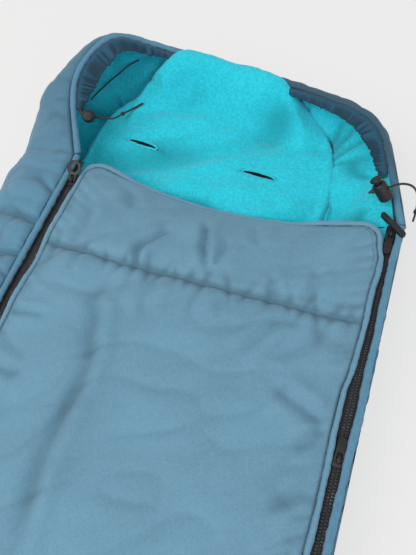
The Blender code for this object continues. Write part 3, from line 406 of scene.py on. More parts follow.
def on_line(length):
    """One length at each point, as a place on a line that noise is read from."""
    return on_plane(length, length * 0)


def rise(values, low, high):
    """0 up to a low value, 1 from a high value on, and a smooth climb between them."""
    share = np.clip((values - low) / (high - low), 0, 1)
    return share * share * (3 - 2 * share)


def window(values, start, full, waning, end):
    """1 in the middle of a range and 0 outside it, with a smooth climb and fall."""
    return rise(values, start, full) * (1 - rise(values, waning, end))


def bell(values, width, power=2):
    """1 at nothing, falling to nearly 0 at twice this width."""
    return np.exp(-((values / width) ** power))


def carry(data, **numbers):
    """Stores numbers at each point of a mesh, for its material."""
    for name, values in numbers.items():
        held = data.attributes.get(name) or data.attributes.new(name, "FLOAT", "POINT")
        held.data.foreach_set("value", np.full(len(data.vertices), values, dtype=np.float32))


def lay_cloth(data, across, along):
    """Lays the weave on a mesh: two lengths in metres at each point."""
    layer = data.uv_layers.new(name="cloth")
    corners = np.empty(len(data.loops), np.int32)
    data.loops.foreach_get("vertex_index", corners)
    pairs = np.stack([across[corners], along[corners]], axis=1)
    layer.data.foreach_set("uv", np.ascontiguousarray(pairs, dtype=np.float32).ravel())


def applied(item):
    """The object's mesh with its modifiers applied."""
    bpy.context.view_layer.update()
    graph = bpy.context.evaluated_depsgraph_get()
    data = bpy.data.meshes.new_from_object(item.evaluated_get(graph))
    bpy.data.objects.remove(item)
    return data


def refined(data, kind, **settings):
    """A mesh after one modifier."""
    item = placed("shaping", data)
    step = item.modifiers.new(kind, kind)
    for name, value in settings.items():
        setattr(step, name, value)
    return applied(item)


def smoother(data, levels):
    return refined(data, "SUBSURF", levels=levels, render_levels=levels, boundary_smooth="PRESERVE_CORNERS")


def thickened(data, depth):
    """A sheet given a thickness, on its inner side."""
    return refined(data, "SOLIDIFY", thickness=depth, offset=-1.0, use_even_offset=False)


def opened(data, weld=False):
    """A mesh opened for changes, its doubled points made one if asked."""
    body = bmesh.new()
    body.from_mesh(data)
    if weld:
        bmesh.ops.remove_doubles(body, verts=body.verts, dist=MERGE)
    return body


def mesh_of(body, name):
    """The changed mesh, closed again."""
    data = bpy.data.meshes.new(name)
    body.to_mesh(data)
    body.free()
    return data


def merged(node):
    """A CAD node's mesh as one closed shell of four-sided faces where it can be."""
    body = opened(frame["nodes"][node].data, weld=True)
    bmesh.ops.join_triangles(body, faces=body.faces, angle_face_threshold=0.8, angle_shape_threshold=3.0)
    return body


def finish_piece(name, data, body, slot, *nodes, finish=None, smooth=True):
    """Puts a shaped mesh in the scene as a piece of a body, in place of CAD nodes."""
    data.name = name
    data.materials.clear()
    data.materials.append(finish or FINISHES[slot])
    if smooth:
        data.shade_smooth()
    piece = placed(name, data)
    if body is not None:
        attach(piece, body)
    if nodes:
        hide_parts(*nodes)
    return piece


# A turn between two faces, in radians, that ends a sheet
SHEET_EDGE = 0.96


def facing_side(node, partner, least):
    """The side of a layer that faces away from its wadding, as an open sheet, walked out from its largest face."""
    body = merged(node)
    other = merged(partner)
    surface = BVHTree.FromBMesh(other)
    other.free()
    away = [face for face in body.faces if surface.find_nearest(face.calc_center_median())[3] > least]
    start = max(away, key=lambda face: face.calc_area())
    kept = {start}
    waiting = [start]
    while waiting:
        for edge in waiting.pop().edges:
            if edge.calc_face_angle(0.0) > SHEET_EDGE:
                continue
            for face in edge.link_faces:
                if face not in kept:
                    kept.add(face)
                    waiting.append(face)
    hidden = [face for face in body.faces if face not in kept]
    bmesh.ops.delete(body, geom=hidden, context="FACES")
    return mesh_of(body, node)


def walk(points, step):
    """Points at even distances along a line, and the distance walked to each."""
    points = [Vector(point) for point in points]
    travelled = [0.0]
    for first, second in zip(points, points[1:]):
        travelled.append(travelled[-1] + (second - first).length)
    count = max(int(round(travelled[-1] / step)), 1)
    wanted = np.linspace(0.0, travelled[-1], count + 1)
    spots = np.stack([np.interp(wanted, travelled, [point[k] for point in points]) for k in range(3)], axis=1)
    return spots, wanted


def eased(points, passes=1):
    """A line with its corners rounded by cutting them, its ends kept."""
    points = [Vector(point) for point in points]
    for _ in range(passes):
        cut = [points[0]]
        for first, second in zip(points, points[1:]):
            cut += [first.lerp(second, 0.25), first.lerp(second, 0.75)]
        points = cut + [points[-1]]
    return points


def softened(spots, passes):
    """Evenly spaced points with their bends eased, the two ends kept."""
    for _ in range(passes):
        spots = np.concatenate([spots[:1], 0.25 * spots[:-2] + 0.5 * spots[1:-1] + 0.25 * spots[2:], spots[-1:]])
    return spots


class Seam:
    """A line that cloth is sewn along."""

    def __init__(self, points, step=0.0015):
        self.spots, self.walked = walk(points, step)
        self.ways = np.gradient(self.spots, axis=0)
        self.ways /= np.linalg.norm(self.ways, axis=1)[:, None]
        self.tree = kdtree.KDTree(len(self.spots))
        for index, spot in enumerate(self.spots.tolist()):
            self.tree.insert(spot, index)
        self.tree.balance()

    def near(self, spots):
        """How far along the seam each spot lies, and how far off it."""
        along, off = [], []
        for spot in spots.tolist():
            _, index, distance = self.tree.find(spot)
            offset = np.subtract(spot, self.spots[index])
            along.append(self.walked[index] + offset @ self.ways[index])
            off.append(distance)
        return np.array(along), np.array(off)

    def beside(self, spots):
        """The seam's point nearest to each spot, its way there, and the ways to its side and over it."""
        index = np.array([self.tree.find(spot)[1] for spot in spots.tolist()])
        ways = self.ways[index]
        side = np.cross(ways, (0.0, 0.0, 1.0))
        side /= np.linalg.norm(side, axis=1)[:, None]
        return self.spots[index], ways, side, np.cross(side, ways)


def centreline(node, first=None):
    """The middle line of a CAD tube, ring by ring. It begins at the end with the lower measure, if one is given."""
    body = opened(frame["nodes"][node].data, weld=True)
    bmesh.ops.dissolve_limit(body, angle_limit=0.004, verts=body.verts, edges=body.edges)
    ends = [face for face in body.faces if len(face.verts) > 4]
    ends.sort(key=lambda face: (round(face.calc_center_median().x, 4), face.calc_center_median().y))
    body.verts.index_update()
    ring = set(ends[0].verts)
    seen = set(ring)
    middles = []
    while ring:
        in_order = sorted(ring, key=lambda vert: vert.index)
        middles.append(sum((vert.co for vert in in_order), Vector()) / len(ring))
        ring = {edge.other_vert(vert) for vert in ring for edge in vert.link_edges} - seen
        seen |= ring
    body.free()
    if first is not None and first(middles[0]) > first(middles[-1]):
        middles.reverse()
    return middles


def rod(points, radius, step, sides):
    """A round rod along a line as a mesh, with the distance walked and the angle round at each point."""
    spots, _ = walk(points, step)
    curve = bpy.data.curves.new("rod", "CURVE")
    curve.dimensions = "3D"
    curve.bevel_depth = radius
    curve.bevel_resolution = sides // 4 - 1
    curve.use_fill_caps = True
    line = curve.splines.new("POLY")
    line.points.add(len(spots) - 1)
    for held, spot in zip(line.points, spots.tolist()):
        held.co = (*spot, 1.0)
    data = applied(placed("rod", curve))
    data = mesh_of(opened(data, weld=True), "rod")
    seam = Seam(spots, step)
    spread = points_of(data)
    along, _ = seam.near(spread)
    middles, ways, side, over = seam.beside(spread)
    outwards = spread - middles
    outwards -= (outwards * ways).sum(1)[:, None] * ways
    length = np.linalg.norm(outwards, axis=1)[:, None]
    outwards = np.where(length > radius * 0.2, outwards / np.maximum(length, 1e-9), 0.0)
    angle = np.arctan2((outwards * over).sum(1), (outwards * side).sum(1))
    lay_cloth(data, angle * radius, along)
    return data, along, angle, outwards, seam


def crease(across, along, points, width):
    """How near each place is to a drawn line, from 0 to 1, fading at the line's ends, and on which side of it."""
    points = [(point.x, point.y) for point in eased([(x, y, 0.0) for x, y in points], 2)]
    nearest = np.full(len(across), 1e9)
    side = np.zeros(len(across))
    walked = np.zeros(len(across))
    travelled = 0.0
    for (x0, y0), (x1, y1) in zip(points, points[1:]):
        run = math.hypot(x1 - x0, y1 - y0)
        dx, dy = (x1 - x0) / run, (y1 - y0) / run
        share = np.clip((across - x0) * dx + (along - y0) * dy, 0, run)
        ex, ey = across - x0 - share * dx, along - y0 - share * dy
        distance = np.hypot(ex, ey)
        closer = distance < nearest
        nearest = np.where(closer, distance, nearest)
        side = np.where(closer, ex * dy - ey * dx, side)
        walked = np.where(closer, travelled + share, walked)
        travelled += run
    fade = window(walked, 0.0, 0.22 * travelled, 0.70 * travelled, travelled)
    return bell(nearest, width, 1.4) * fade, np.sign(side) * nearest, fade


# The rim's seams, from the left foot round the hood to the right foot

left_welt_line = centreline("shell_welt_left", lambda end: end.y)
right_welt_line = centreline("shell_welt_right", lambda end: -end.y)
hood_welt_line = centreline("hood_welt", lambda end: end.x)
rim_seam = Seam(left_welt_line + eased(hood_welt_line, 2) + right_welt_line)


# Free cords first: the draw cord's two ends, and the hanging loop


CORD_STEP = 0.0012
CORD_WIDTH = 0.0024
LOOP_WIDTH = 0.0018


def make_cord(name, node, start, diameter):
    line = centreline(node, lambda end: (end - start).length)
    line = [Vector(spot) for spot in softened(walk(line, CORD_STEP)[0], 12).tolist()]
    data, _, _, _, seam = rod(line, diameter / 2, CORD_STEP, 12)
    piece = finish_piece(name, data, "shell", "black_tape", node, finish=CORD)


draw_cord_line = centreline("draw_cord", lambda end: end.x)
LEFT_MOUTH, RIGHT_MOUTH = draw_cord_line[0], draw_cord_line[-1]
LOOP_START = Vector((-0.131, 0.446, 0.085))
KNOT_STEPS = 48
KNOT_TURNS = 2.25


def make_knot(side):
    """An overhand knot: two turns of the cord wrapped on themselves."""
    low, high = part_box(f"cord_knot_{side}")
    middle = (low + high) / 2
    line = centreline(f"cord_tail_{side}")
    nearest = min(range(1, len(line) - 1), key=lambda k: (line[k] - middle).length)
    way = (line[nearest + 1] - line[nearest - 1]).normalized()
    across = way.cross(Vector((0.0, 0.0, 1.0))).normalized()
    over = across.cross(way)
    points = []
    for k in range(KNOT_STEPS + 1):
        turn = math.tau * KNOT_TURNS * k / KNOT_STEPS
        swell = 0.0013 + 0.0005 * math.sin(math.pi * k / KNOT_STEPS)
        lift = 0.0020 * (k / KNOT_STEPS - 0.5) * 2
        spot = middle + way * (lift + 0.0007 * math.sin(turn * 2))
        points.append(spot + across * (swell * math.cos(turn)) + over * (swell * math.sin(turn)))
    data, _, _, _, _ = rod(points, 0.00090, 0.0006, 8)
    return finish_piece(f"overhand_knot_{side}", data, "shell", "black_tape", f"cord_knot_{side}", finish=CORD)


knots = {side: make_knot(side) for side in SIDES}
make_cord("draw_cord_end_left", "cord_tail_left", LEFT_MOUTH, CORD_WIDTH)
make_cord("draw_cord_end_right", "cord_tail_right", RIGHT_MOUTH, CORD_WIDTH)
make_cord("loop_in_hood", "hanging_loop", LOOP_START, LOOP_WIDTH)


# The walls: cloth outside, fleece inside


def pad_outline():
    """The pad's outline on the floor, from the CAD panel under it."""
    body = merged("back_outer")
    bmesh.ops.delete(body, geom=[face for face in body.faces if abs(face.normal.z) < 0.9], context="FACES_ONLY")
    lowest = [edge for edge in body.edges if edge.is_boundary and max(vert.co.z for vert in edge.verts) < 0.0006]
    first = max(lowest, key=lambda edge: edge.verts[0].co.y)
    ring = [vert.co.copy() for vert in first.verts]
    last, used = first.verts[1], {first}
    linked = {}
    for edge in lowest:
        for vert in edge.verts:
            linked.setdefault(vert, []).append(edge)
    while True:
        onward = [edge for edge in linked[last] if edge not in used]
        if not onward:
            break
        used.add(onward[0])
        last = onward[0].other_vert(last)
        ring.append(last.co.copy())
    body.free()
    return [Vector((spot.x, spot.y, 0.0)) for spot in ring]


PAD_OUTLINE = Seam(pad_outline(), 0.0020)
# A distance off a seam at which no stitches show
NO_STITCHES = 0.05


def radiating(along, off, seed, spacing, reach):
    """Creases that run away from a seam, a little aslant and unevenly spaced, 1 in a crease's bottom."""
    wander = 0.45 * lumps(on_plane(along, off * 0.6), 0.05, seed + 3)
    place = (along + 0.30 * off * np.sin(along * 21 + seed)) / spacing + wander
    line = np.stack([place, off / 0.16, np.full(len(place), seed * 1.7)], 1)
    narrow = veins(line, 1.0, seed, 1.6, 2.6)
    strength = 0.45 + 0.55 * (lumps(on_line(along), 0.045, seed + 9) + 0.4)
    length = reach * (0.55 + 0.9 * np.clip(lumps(on_line(along), 0.03, seed + 5) + 0.5, 0, 1.2))
    return np.clip(narrow * strength, 0, 1) * np.exp(-off / length)


def tuck_under(spots):
    """How far the right wall sits in, so that it hides under its welt."""
    across, along, height = spots.T
    beside = rise(across, 0.150, 0.200) * (1 - rise(along, 0.300, 0.345))
    return 0.0115 * beside * rise(height, 0.004, 0.026) * (1 - rise(height, 0.078, 0.086))


# The creases beside the left zip: each one's start along the rim, its slant, how far it runs, and its strength
LEFT_CREASES = (
    (0.140, 0.10, 0.050, 0.8), (0.215, -0.12, 0.060, 0.7), (0.262, 0.15, 0.050, 0.8), (0.325, -0.10, 0.070, 0.9),
    (0.384, 0.18, 0.055, 0.8), (0.436, -0.16, 0.080, 1.0), (0.478, 0.25, 0.060, 0.8), (0.506, -0.20, 0.075, 1.0),
    (0.548, 0.12, 0.080, 1.2), (0.586, 0.55, 0.060, 1.1), (0.618, -0.15, 0.060, 1.0), (0.648, 0.50, 0.055, 1.1),
    (0.676, 0.25, 0.045, 1.0), (0.700, 0.65, 0.045, 0.9), (0.726, 0.30, 0.040, 0.9),
)


def drawn_creases(creases, along, off, spots):
    """Single creases that run away from the rim, which widen as they go."""
    cut = np.zeros(len(along))
    wander = 0.0035 * lumps(spots, 0.022, 77)
    for start, lean, reach, strength in creases:
        gap = np.abs(along - start - lean * off + wander)
        fade = bell(off, reach) * rise(off, 0.002, 0.005)
        cut = cut + strength * bell(gap, 0.0030 + 0.10 * off, 1.3) * fade
    return np.clip(cut, 0, 1.0) * (1 - 0.75 * rise(spots[:, 1], 0.200, 0.240))


def shape_wall_cloth(data, seed, swell, spacing, crease_depth, creases):
    """Puffs the cloth between its seams and creases it, as light padding under a thin cloth does, and paints shade
    into its creases and on its far side.
    """
    spots = points_of(data)
    outwards = normals_of(data)
    along, off = rim_seam.near(spots)
    height = spots[:, 2]
    middle = rise(off, 0.004, 0.030) * rise(height, 0.004, 0.022)
    big = lumps(spots, 0.062, seed) * 0.0042 + lumps(spots, 0.028, seed + 1) * 0.0016
    folds = radiating(along, off, seed, spacing, 3 * spacing)
    if creases:
        folds = np.clip(0.45 * folds + drawn_creases(creases, along, off, spots), 0, 1.0)
    puff = swell * (1.3 - 0.9 * folds) * rise(off, 0.002, 0.012) * rise(height, 0.0, 0.018)
    small = radiating(along, off, seed + 20, 0.0055, 0.012)
    crooked = veins(spots, (0.05, 0.034, 0.040), seed + 40, 2.2)
    floor_folds = radiating(along, height, seed + 60, 0.017, 0.022) * rise(off, 0.02, 0.05)
    depth = puff + big * middle - crease_depth * folds * rise(off, 0.003, 0.008)
    depth = depth - 0.3 * crease_depth * small * rise(off, 0.004, 0.008)
    depth = depth - 0.0017 * crooked * middle - 0.0028 * floor_folds
    depth = depth - 0.0024 * (1 - rise(off, 0.0050, 0.0085))
    depth = depth * (1 - 0.85 * rise(spots[:, 0], 0.185, 0.210) * rise(spots[:, 1], 0.195, 0.230))
    spots = spots + outwards * depth[:, None]
    spots[:, 2] = np.maximum(spots[:, 2], 0.0002)
    spots[:, 0] -= tuck_under(spots)
    put_points(data, spots)
    lay_cloth(data, along, off)
    # Painted shade in the creases and along the seam, and on the walls' back and far side, turned from the light
    fold = 0.85 * folds + 0.5 * small + 0.4 * crooked * middle + 0.6 * floor_folds
    fold = np.clip(fold + 0.9 * (1 - rise(off, 0.0050, 0.0075)), 0, 1)
    far_side_shade = rise(spots[:, 1] + 0.4 * spots[:, 0], 0.34, 0.44)
    away = 0.38 * rise(spots[:, 1], 0.22, 0.35) + 0.62 * far_side_shade
    carry(data, along=along, off=NO_STITCHES, fold=fold, away=away)


def draw_in(spots):
    """Brings the fleece in over the hollow beside the pad, at the right of the hood and just below it."""
    share = rise(spots[:, 0], 0.060, 0.120) * rise(spots[:, 1], 0.030, 0.090)
    flat = spots * (1.0, 1.0, 0.0)
    target = spots.copy()
    for k in np.nonzero(share > 0.001)[0]:
        rim = rim_seam.spots[rim_seam.tree.find(spots[k].tolist())[1]]
        foot = PAD_OUTLINE.spots[PAD_OUTLINE.tree.find(flat[k].tolist())[1]]
        climb = min(max((spots[k, 2] - 0.0455) / max(rim[2] - 0.0495, 0.001), 0.0), 1.0)
        part = 1 - climb**0.62
        target[k, 0] = rim[0] + (foot[0] - 0.0028 - rim[0]) * part
        target[k, 1] = rim[1] + (foot[1] - rim[1]) * part
    return spots + (target - spots) * (share * rise(spots[:, 2], 0.0, 0.02))[:, None]


def shape_wall_lining(data, seed, fold_depth):
    """Soft folds in the fleece, and its roll along the rim."""
    put_points(data, draw_in(points_of(data)))
    spots = points_of(data)
    outwards = normals_of(data)
    along, off = rim_seam.near(spots)
    inside = rise(off, 0.010, 0.035)
    soft = lumps(on_plane(along, off * 0.35), 0.034, seed) * 0.0060
    soft += lumps(spots, 0.045, seed + 2) * 0.0028 + lumps(spots, 0.016, seed + 4) * 0.0008
    hollow = 1 - rise(spots[:, 0], -0.110, -0.070)
    soft += lumps(on_plane(along + 0.5 * off, off * 0.25), 0.019, seed + 7) * 0.0042 * hollow
    folded = veins(on_plane(along + 0.4 * off, off * 0.4), 0.040, seed + 6, 2.0)
    pile = lumps(spots, 0.0032, seed + 8) * 0.00035
    depth = fold_depth * (soft - 0.0042 * folded) * inside + pile
    spots = spots + outwards * depth[:, None]
    spots[:, 0] -= tuck_under(spots)
    spots[:, 2] = np.maximum(spots[:, 2], 0.0030)
    put_points(data, spots)
    # Painted shade in the fleece's folds
    carry(data, fold=np.clip(0.8 * folded * inside, 0, 1))


def make_wall(name, seed, swell, fold_depth, levels=3, spacing=0.013, crease_depth=0.0042, creases=()):
    data = smoother(facing_side(f"{name}_outer", f"{name}_wadding", 0.0011), levels)
    shape_wall_cloth(data, seed, swell, spacing, crease_depth, creases)
    data = thickened(data, CLOTH_DEPTH)
    cloth = finish_piece(f"{name}_cloth", data, "shell", "shell_cloth", f"{name}_outer", f"{name}_wadding")
    data = smoother(facing_side(f"{name}_fleece", f"{name}_wadding", 0.0024), levels)
    shape_wall_lining(data, seed + 100, fold_depth)
    data = thickened(data, FLEECE_DEPTH)
    finish_piece(f"{name}_lining", data, "shell", "fleece", f"{name}_fleece")


make_wall("left_gusset", 1, 0.0036, 0.8, levels=4, spacing=0.020, crease_depth=0.0052, creases=LEFT_CREASES)
make_wall("right_gusset", 2, 0.0008, 0.8, levels=4)
make_wall("hood", 3, 0.0014, 1.2, spacing=0.024, crease_depth=0.0014)
make_wall("foot_gusset", 4, 0.0030, 0.8)


# The back: the pad that one sees, and the cloth underneath


def snapped_sheet(node, cell, level):
    """A grid dropped on a CAD body from above, or raised from below, cut to its outline."""
    low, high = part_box(node)
    columns = int(round((high.x - low.x) / cell))
    rows = int(round((high.y - low.y) / cell))
    body = bmesh.new()
    bmesh.ops.create_grid(body, x_segments=columns, y_segments=rows, size=0.5)
    centre = (low + high) / 2
    sizes = Vector((high.x - low.x, high.y - low.y, 1.0))
    bmesh.ops.scale(body, verts=body.verts, vec=sizes)
    bmesh.ops.translate(body, verts=body.verts, vec=(centre.x, centre.y, 0.0))
    target = merged(node)
    surface = BVHTree.FromBMesh(target)
    downward = Vector((0.0, 0.0, -1.0 if level > 0 else 1.0))
    missed = []
    for vert in body.verts:
        spot, _, _, _ = surface.ray_cast(Vector((vert.co.x, vert.co.y, level)), downward)
        if spot is None:
            missed.append(vert)
        else:
            vert.co.z = spot.z
    bmesh.ops.delete(body, geom=missed, context="VERTS")
    target.free()
    return body


# How far each slit is turned from straight across, in degrees
SLITS = {
    "shoulder_slit_binding_left": -7.0,
    "shoulder_slit_binding_right": -4.0,
    "waist_slit_binding_left": 0.0,
    "waist_slit_binding_right": 0.0,
    "crotch_slit_binding": 90.0,
}
SLIT_HALF = 0.0212
SLIT_GAP = 0.0026
# How far from a slit the fleece gives way to it
SLIT_BORDER = 0.010
slit_frames = {}
for slit_name, slit_turn in SLITS.items():
    slit_low, slit_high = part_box(slit_name)
    slit_middle = (slit_low + slit_high) / 2
    slit_frames[slit_name] = (slit_middle, math.radians(slit_turn), slit_high.z)


def slit_places(spots, middle, turn):
    """Each spot's place along and across a slit."""
    dx, dy = spots[:, 0] - middle.x, spots[:, 1] - middle.y
    along = dx * math.cos(turn) + dy * math.sin(turn)
    return along, -dx * math.sin(turn) + dy * math.cos(turn)


def from_slit(along, across, middle, turn):
    """The place on the floor that lies so far along and across a slit."""
    x = middle.x + along * math.cos(turn) - across * math.sin(turn)
    return x, middle.y + along * math.sin(turn) + across * math.cos(turn)


def lens(along, half_width):
    """A slit's half width along it, pointed at both ends."""
    return half_width * np.clip(1 - (along / SLIT_HALF) ** 2, 0, 1) ** 0.7


def open_slits(body, half_width):
    """Cuts each slit in a sheet: rows of points beside it are drawn to its pointed outline."""
    for middle, turn, _ in slit_frames.values():
        verts = list(body.verts)
        spots = np.array([vert.co for vert in verts])
        along, across = slit_places(spots, middle, turn)
        gap = lens(along, half_width)
        inside = (np.abs(along) < SLIT_HALF) & (np.abs(across) < SLIT_BORDER)
        push = np.where(inside, gap * (1 - np.abs(across) / SLIT_BORDER), 0.0)
        moved = across + np.where(across >= 0, push, -push)
        for vert, a, b in zip(verts, along, moved):
            vert.co.xy = from_slit(a, b, middle, turn)
        shut = []
        for face in body.faces:
            a, b = slit_places(np.array([face.calc_center_median()]), middle, turn)
            _, sides = slit_places(np.array([vert.co for vert in face.verts]), middle, turn)
            if abs(a[0]) < SLIT_HALF and min(sides) < 0 <= max(sides) and abs(b[0]) < 0.004:
                shut.append(face)
        bmesh.ops.delete(body, geom=shut, context="FACES")


PAD_LEVEL = 0.0488
HOOD_RIM = Seam([(point.x, point.y, 0.0) for point in eased(hood_welt_line, 2)], 0.0020)
OUTER_EDGE = Seam(eased(hood_welt_line, 2), 0.0020)


def fleece_swell(across):
    """How far the fleece swells up over the hood's rim: wholly in its middle, not at its sides."""
    return window(across, -0.134, -0.066, 0.046, 0.118)


def shape_pad_edge(spots):
    """Fills the pad's shoulders, and carries it up over the rim in the hood's middle."""
    plan = spots * (1.0, 1.0, 0.0)
    _, edge = PAD_OUTLINE.near(plan)
    roll = 0.013 - 0.0085 * rise(spots[:, 0], 0.050, 0.100)
    shoulder = PAD_LEVEL * np.sqrt(np.clip(1 - (1 - np.clip(edge / roll, 0, 1)) ** 2, 0, 1))
    spots[:, 2] = np.maximum(spots[:, 2], shoulder)
    swell = fleece_swell(spots[:, 0]) * rise(spots[:, 1], 0.30, 0.36)
    moved = spots.copy()
    for k in np.nonzero(swell > 0.001)[0]:
        _, index, distance = HOOD_RIM.tree.find(plan[k].tolist())
        rim = OUTER_EDGE.spots[OUTER_EDGE.tree.find(spots[k].tolist())[1]]
        reach = min(edge[k] / 0.050, 1.0)
        far = distance * reach - 0.0075 * (1 - reach)
        way = (plan[k] - HOOD_RIM.spots[index]) / max(distance, 1e-6)
        top = rim[2] - 0.010 + 0.0205 * rise(far, -0.0080, 0.0020)
        fall = rise(far, 0.010, 0.060) ** 0.85
        spot = HOOD_RIM.spots[index] + way * far
        moved[k] = (spot[0], spot[1], top + (PAD_LEVEL - top) * fall)
    return spots + (moved - spots) * swell[:, None], edge, swell


def leave_room(spots, line, gap, slope, reach):
    """Presses a sheet down where a cord lies on it."""
    over = Seam(line, 0.0010)
    plan = kdtree.KDTree(len(over.spots))
    for index, spot in enumerate(over.spots.tolist()):
        plan.insert((spot[0], spot[1], 0.0), index)
    plan.balance()
    for spot in spots:
        _, index, distance = plan.find((spot[0], spot[1], 0.0))
        if distance < reach:
            spot[2] = min(spot[2], over.spots[index][2] - gap + slope * max(distance - 0.0010, 0.0))


def shape_pad(data):
    """Broad dimples, soft ridges by the slits, and the pile's own unevenness."""
    spots, edge, swell = shape_pad_edge(points_of(data))
    put_points(data, spots)
    across, along = spots[:, 0], spots[:, 1]
    inner = rise(edge, 0.002, 0.020) * (1 - 0.7 * swell * (1 - rise(edge, 0.020, 0.045)))
    leaning = on_plane(across * 0.87 + along * 0.5, along * 0.87 - across * 0.5)
    broad = lumps(leaning, (0.105, 0.034, 1.0), 11)
    depth = broad * 0.0098 + lumps(leaning, (0.044, 0.018, 1.0), 12) * 0.0034
    depth = depth + lumps(on_plane(across, along), 0.012, 13) * 0.0009
    long_folds = rise(veins(leaning, (0.13, 0.052, 1.0), 14, 1.0), 0.0, 1.0)
    depth = depth - 0.0050 * long_folds
    # Painted shade in the long folds and in the dimples' hollows
    fold = 0.34 * long_folds + 0.42 * np.clip(-1.6 * broad, 0, 1)
    for middle, turn, _ in slit_frames.values():
        a, b = slit_places(spots, middle, turn)
        reach = bell(np.clip(np.abs(a) - 0.018, 0, 1), 0.010)
        lip = bell(np.abs(b) - 0.0045, 0.0035) * reach
        sink = bell(b, 0.0022) * reach
        pull = bell(b, 0.012) * bell(np.abs(a) - 0.030, 0.010)
        near = bell(b, 0.020) * bell(np.clip(np.abs(a) - 0.020, 0, 1), 0.016)
        depth = depth * (1 - 0.8 * near) + 0.0016 * lip - 0.0020 * sink - 0.0016 * pull
        # Painted shade in each slit's sunken middle
        fold = fold + 0.8 * sink
    depth = depth * inner + lumps(spots, 0.0032, 15) * 0.0005
    spots = spots + normals_of(data) * depth[:, None]
    leave_room(spots, centreline("cord_tail_left"), gap=0.0022, slope=0.5, reach=0.030)
    put_points(data, spots)
    carry(data, fold=np.clip(fold * inner, 0, 1))


# How far the hem under the pad's edge reaches out at the right, and how low it reaches
HEM_REACH = 0.0200
HEM_LEVEL = 0.0030


def make_pad():
    body = snapped_sheet("back_fleece", 0.0028, 0.2)
    bmesh.ops.holes_fill(body, edges=[edge for edge in body.edges if edge.is_boundary], sides=80)
    bmesh.ops.triangulate(body, faces=[face for face in body.faces if len(face.verts) > 4])
    bmesh.ops.recalc_face_normals(body, faces=body.faces)
    body = opened(refined(mesh_of(body, "pad"), "SMOOTH", factor=0.5, iterations=4))
    open_slits(body, SLIT_GAP)
    data = mesh_of(body, "pad")
    shape_pad(data)
    body = opened(data)
    outside = []
    for edge in body.edges:
        if edge.is_boundary and PAD_OUTLINE.tree.find((*edge.verts[0].co.xy, 0.0))[2] < 0.008:
            outside.append(edge)
    for vert in bmesh.ops.extrude_edge_only(body, edges=outside)["geom"]:
        if isinstance(vert, bmesh.types.BMVert):
            vert.co.x += HEM_REACH * rise(vert.co.x, 0.03, 0.09)
            vert.co.z = HEM_LEVEL
    data = thickened(mesh_of(body, "pad"), 0.0020)
    pad = finish_piece("pad_fleece", data, "shell", "fleece", "back_fleece", "back_wadding")


def make_underside():
    body = snapped_sheet("back_outer", 0.0036, -0.2)
    bmesh.ops.recalc_face_normals(body, faces=body.faces)
    bmesh.ops.reverse_faces(body, faces=[face for face in body.faces if face.normal.z > 0])
    data = mesh_of(body, "underside")
    spots = points_of(data)
    along, off = rim_seam.near(spots)
    lay_cloth(data, spots[:, 0], spots[:, 1])
    creased = veins(spots, (0.10, 0.07, 1.0), 31, 2.5)
    # Painted shade in the underside's creases
    carry(data, along=along, off=off, fold=np.clip(0.5 * creased, 0, 1))
    spots[:, 2] = 0.0001 + 0.0007 * creased
    put_points(data, spots)
    data = thickened(data, CLOTH_DEPTH)
    finish_piece("underside_cloth", data, "shell", "shell_cloth", "back_outer")


make_pad()
make_underside()
LIP_STEPS = 64


def make_slit_lips():
    """The fleece turned over each slit's bound edge, round a dark way through."""
    for name, (middle, turn, top) in slit_frames.items():
        points = []
        for k in range(LIP_STEPS + 1):
            angle = math.tau * k / LIP_STEPS
            a = 0.95 * SLIT_HALF * math.cos(angle)
            b = math.copysign(lens(a, SLIT_GAP) + 0.0014, math.sin(angle))
            if k % (LIP_STEPS // 2) == 0:
                b = 0.0
            level = top - 0.0010 - 0.0020 * math.cos(angle) ** 6
            points.append(Vector((*from_slit(a, b, middle, turn), level)))
        data, _, _, outwards, _ = rod(points, 0.0015, 0.0015, 8)
        spots = points_of(data)
        put_points(data, spots + outwards * (0.0003 * lumps(spots, 0.004, 71))[:, None])
        # Painted shade number for the lip, below the level at which the fleece finish starts to darken it
        carry(data, fold=0.12)
        finish_piece(name.replace("binding", "lip"), data, "shell", "fleece")
        inner = mesh_of(merged(name), "binding")
        spots = points_of(inner)
        spots[:, 2] = np.minimum(spots[:, 2], top - 0.0060)
        put_points(inner, spots)
        lay_cloth(inner, spots[:, 0], spots[:, 2])
        finish_piece(name.replace("binding", "tape"), inner, "shell", "black_tape", name, smooth=False)


make_slit_lips()


# The cover


COVER_SAG = 0.024
NECK_DIP = 0.0135
SAG_RUN = 0.230
BAND_DEPTH = 0.113


def slack(spots):
    """Lowers the cover towards its free edge, which hangs between the zips."""
    across, along, _ = spots.T
    hollow = 1 - np.minimum(np.abs(across - COVER_MIDDLE) / COVER_HALF, 1) ** 2
    sag = np.clip((along - COVER_TOP) / SAG_RUN + 1, 0, 1) ** 2
    dip = np.clip((along - COVER_TOP + BAND_DEPTH) / BAND_DEPTH, 0, 1)
    return spots - np.stack([hollow * 0, NECK_DIP * hollow * dip, COVER_SAG * hollow * sag], 1)


def top_middle(spots):
    """1 along the middle of the cover's free edge, 0 towards its corners and down its sides."""
    middle = window(spots[:, 0], -0.095, -0.055, 0.120, 0.155)
    return middle * rise(spots[:, 1], COVER_TOP - 0.060, COVER_TOP - 0.030)


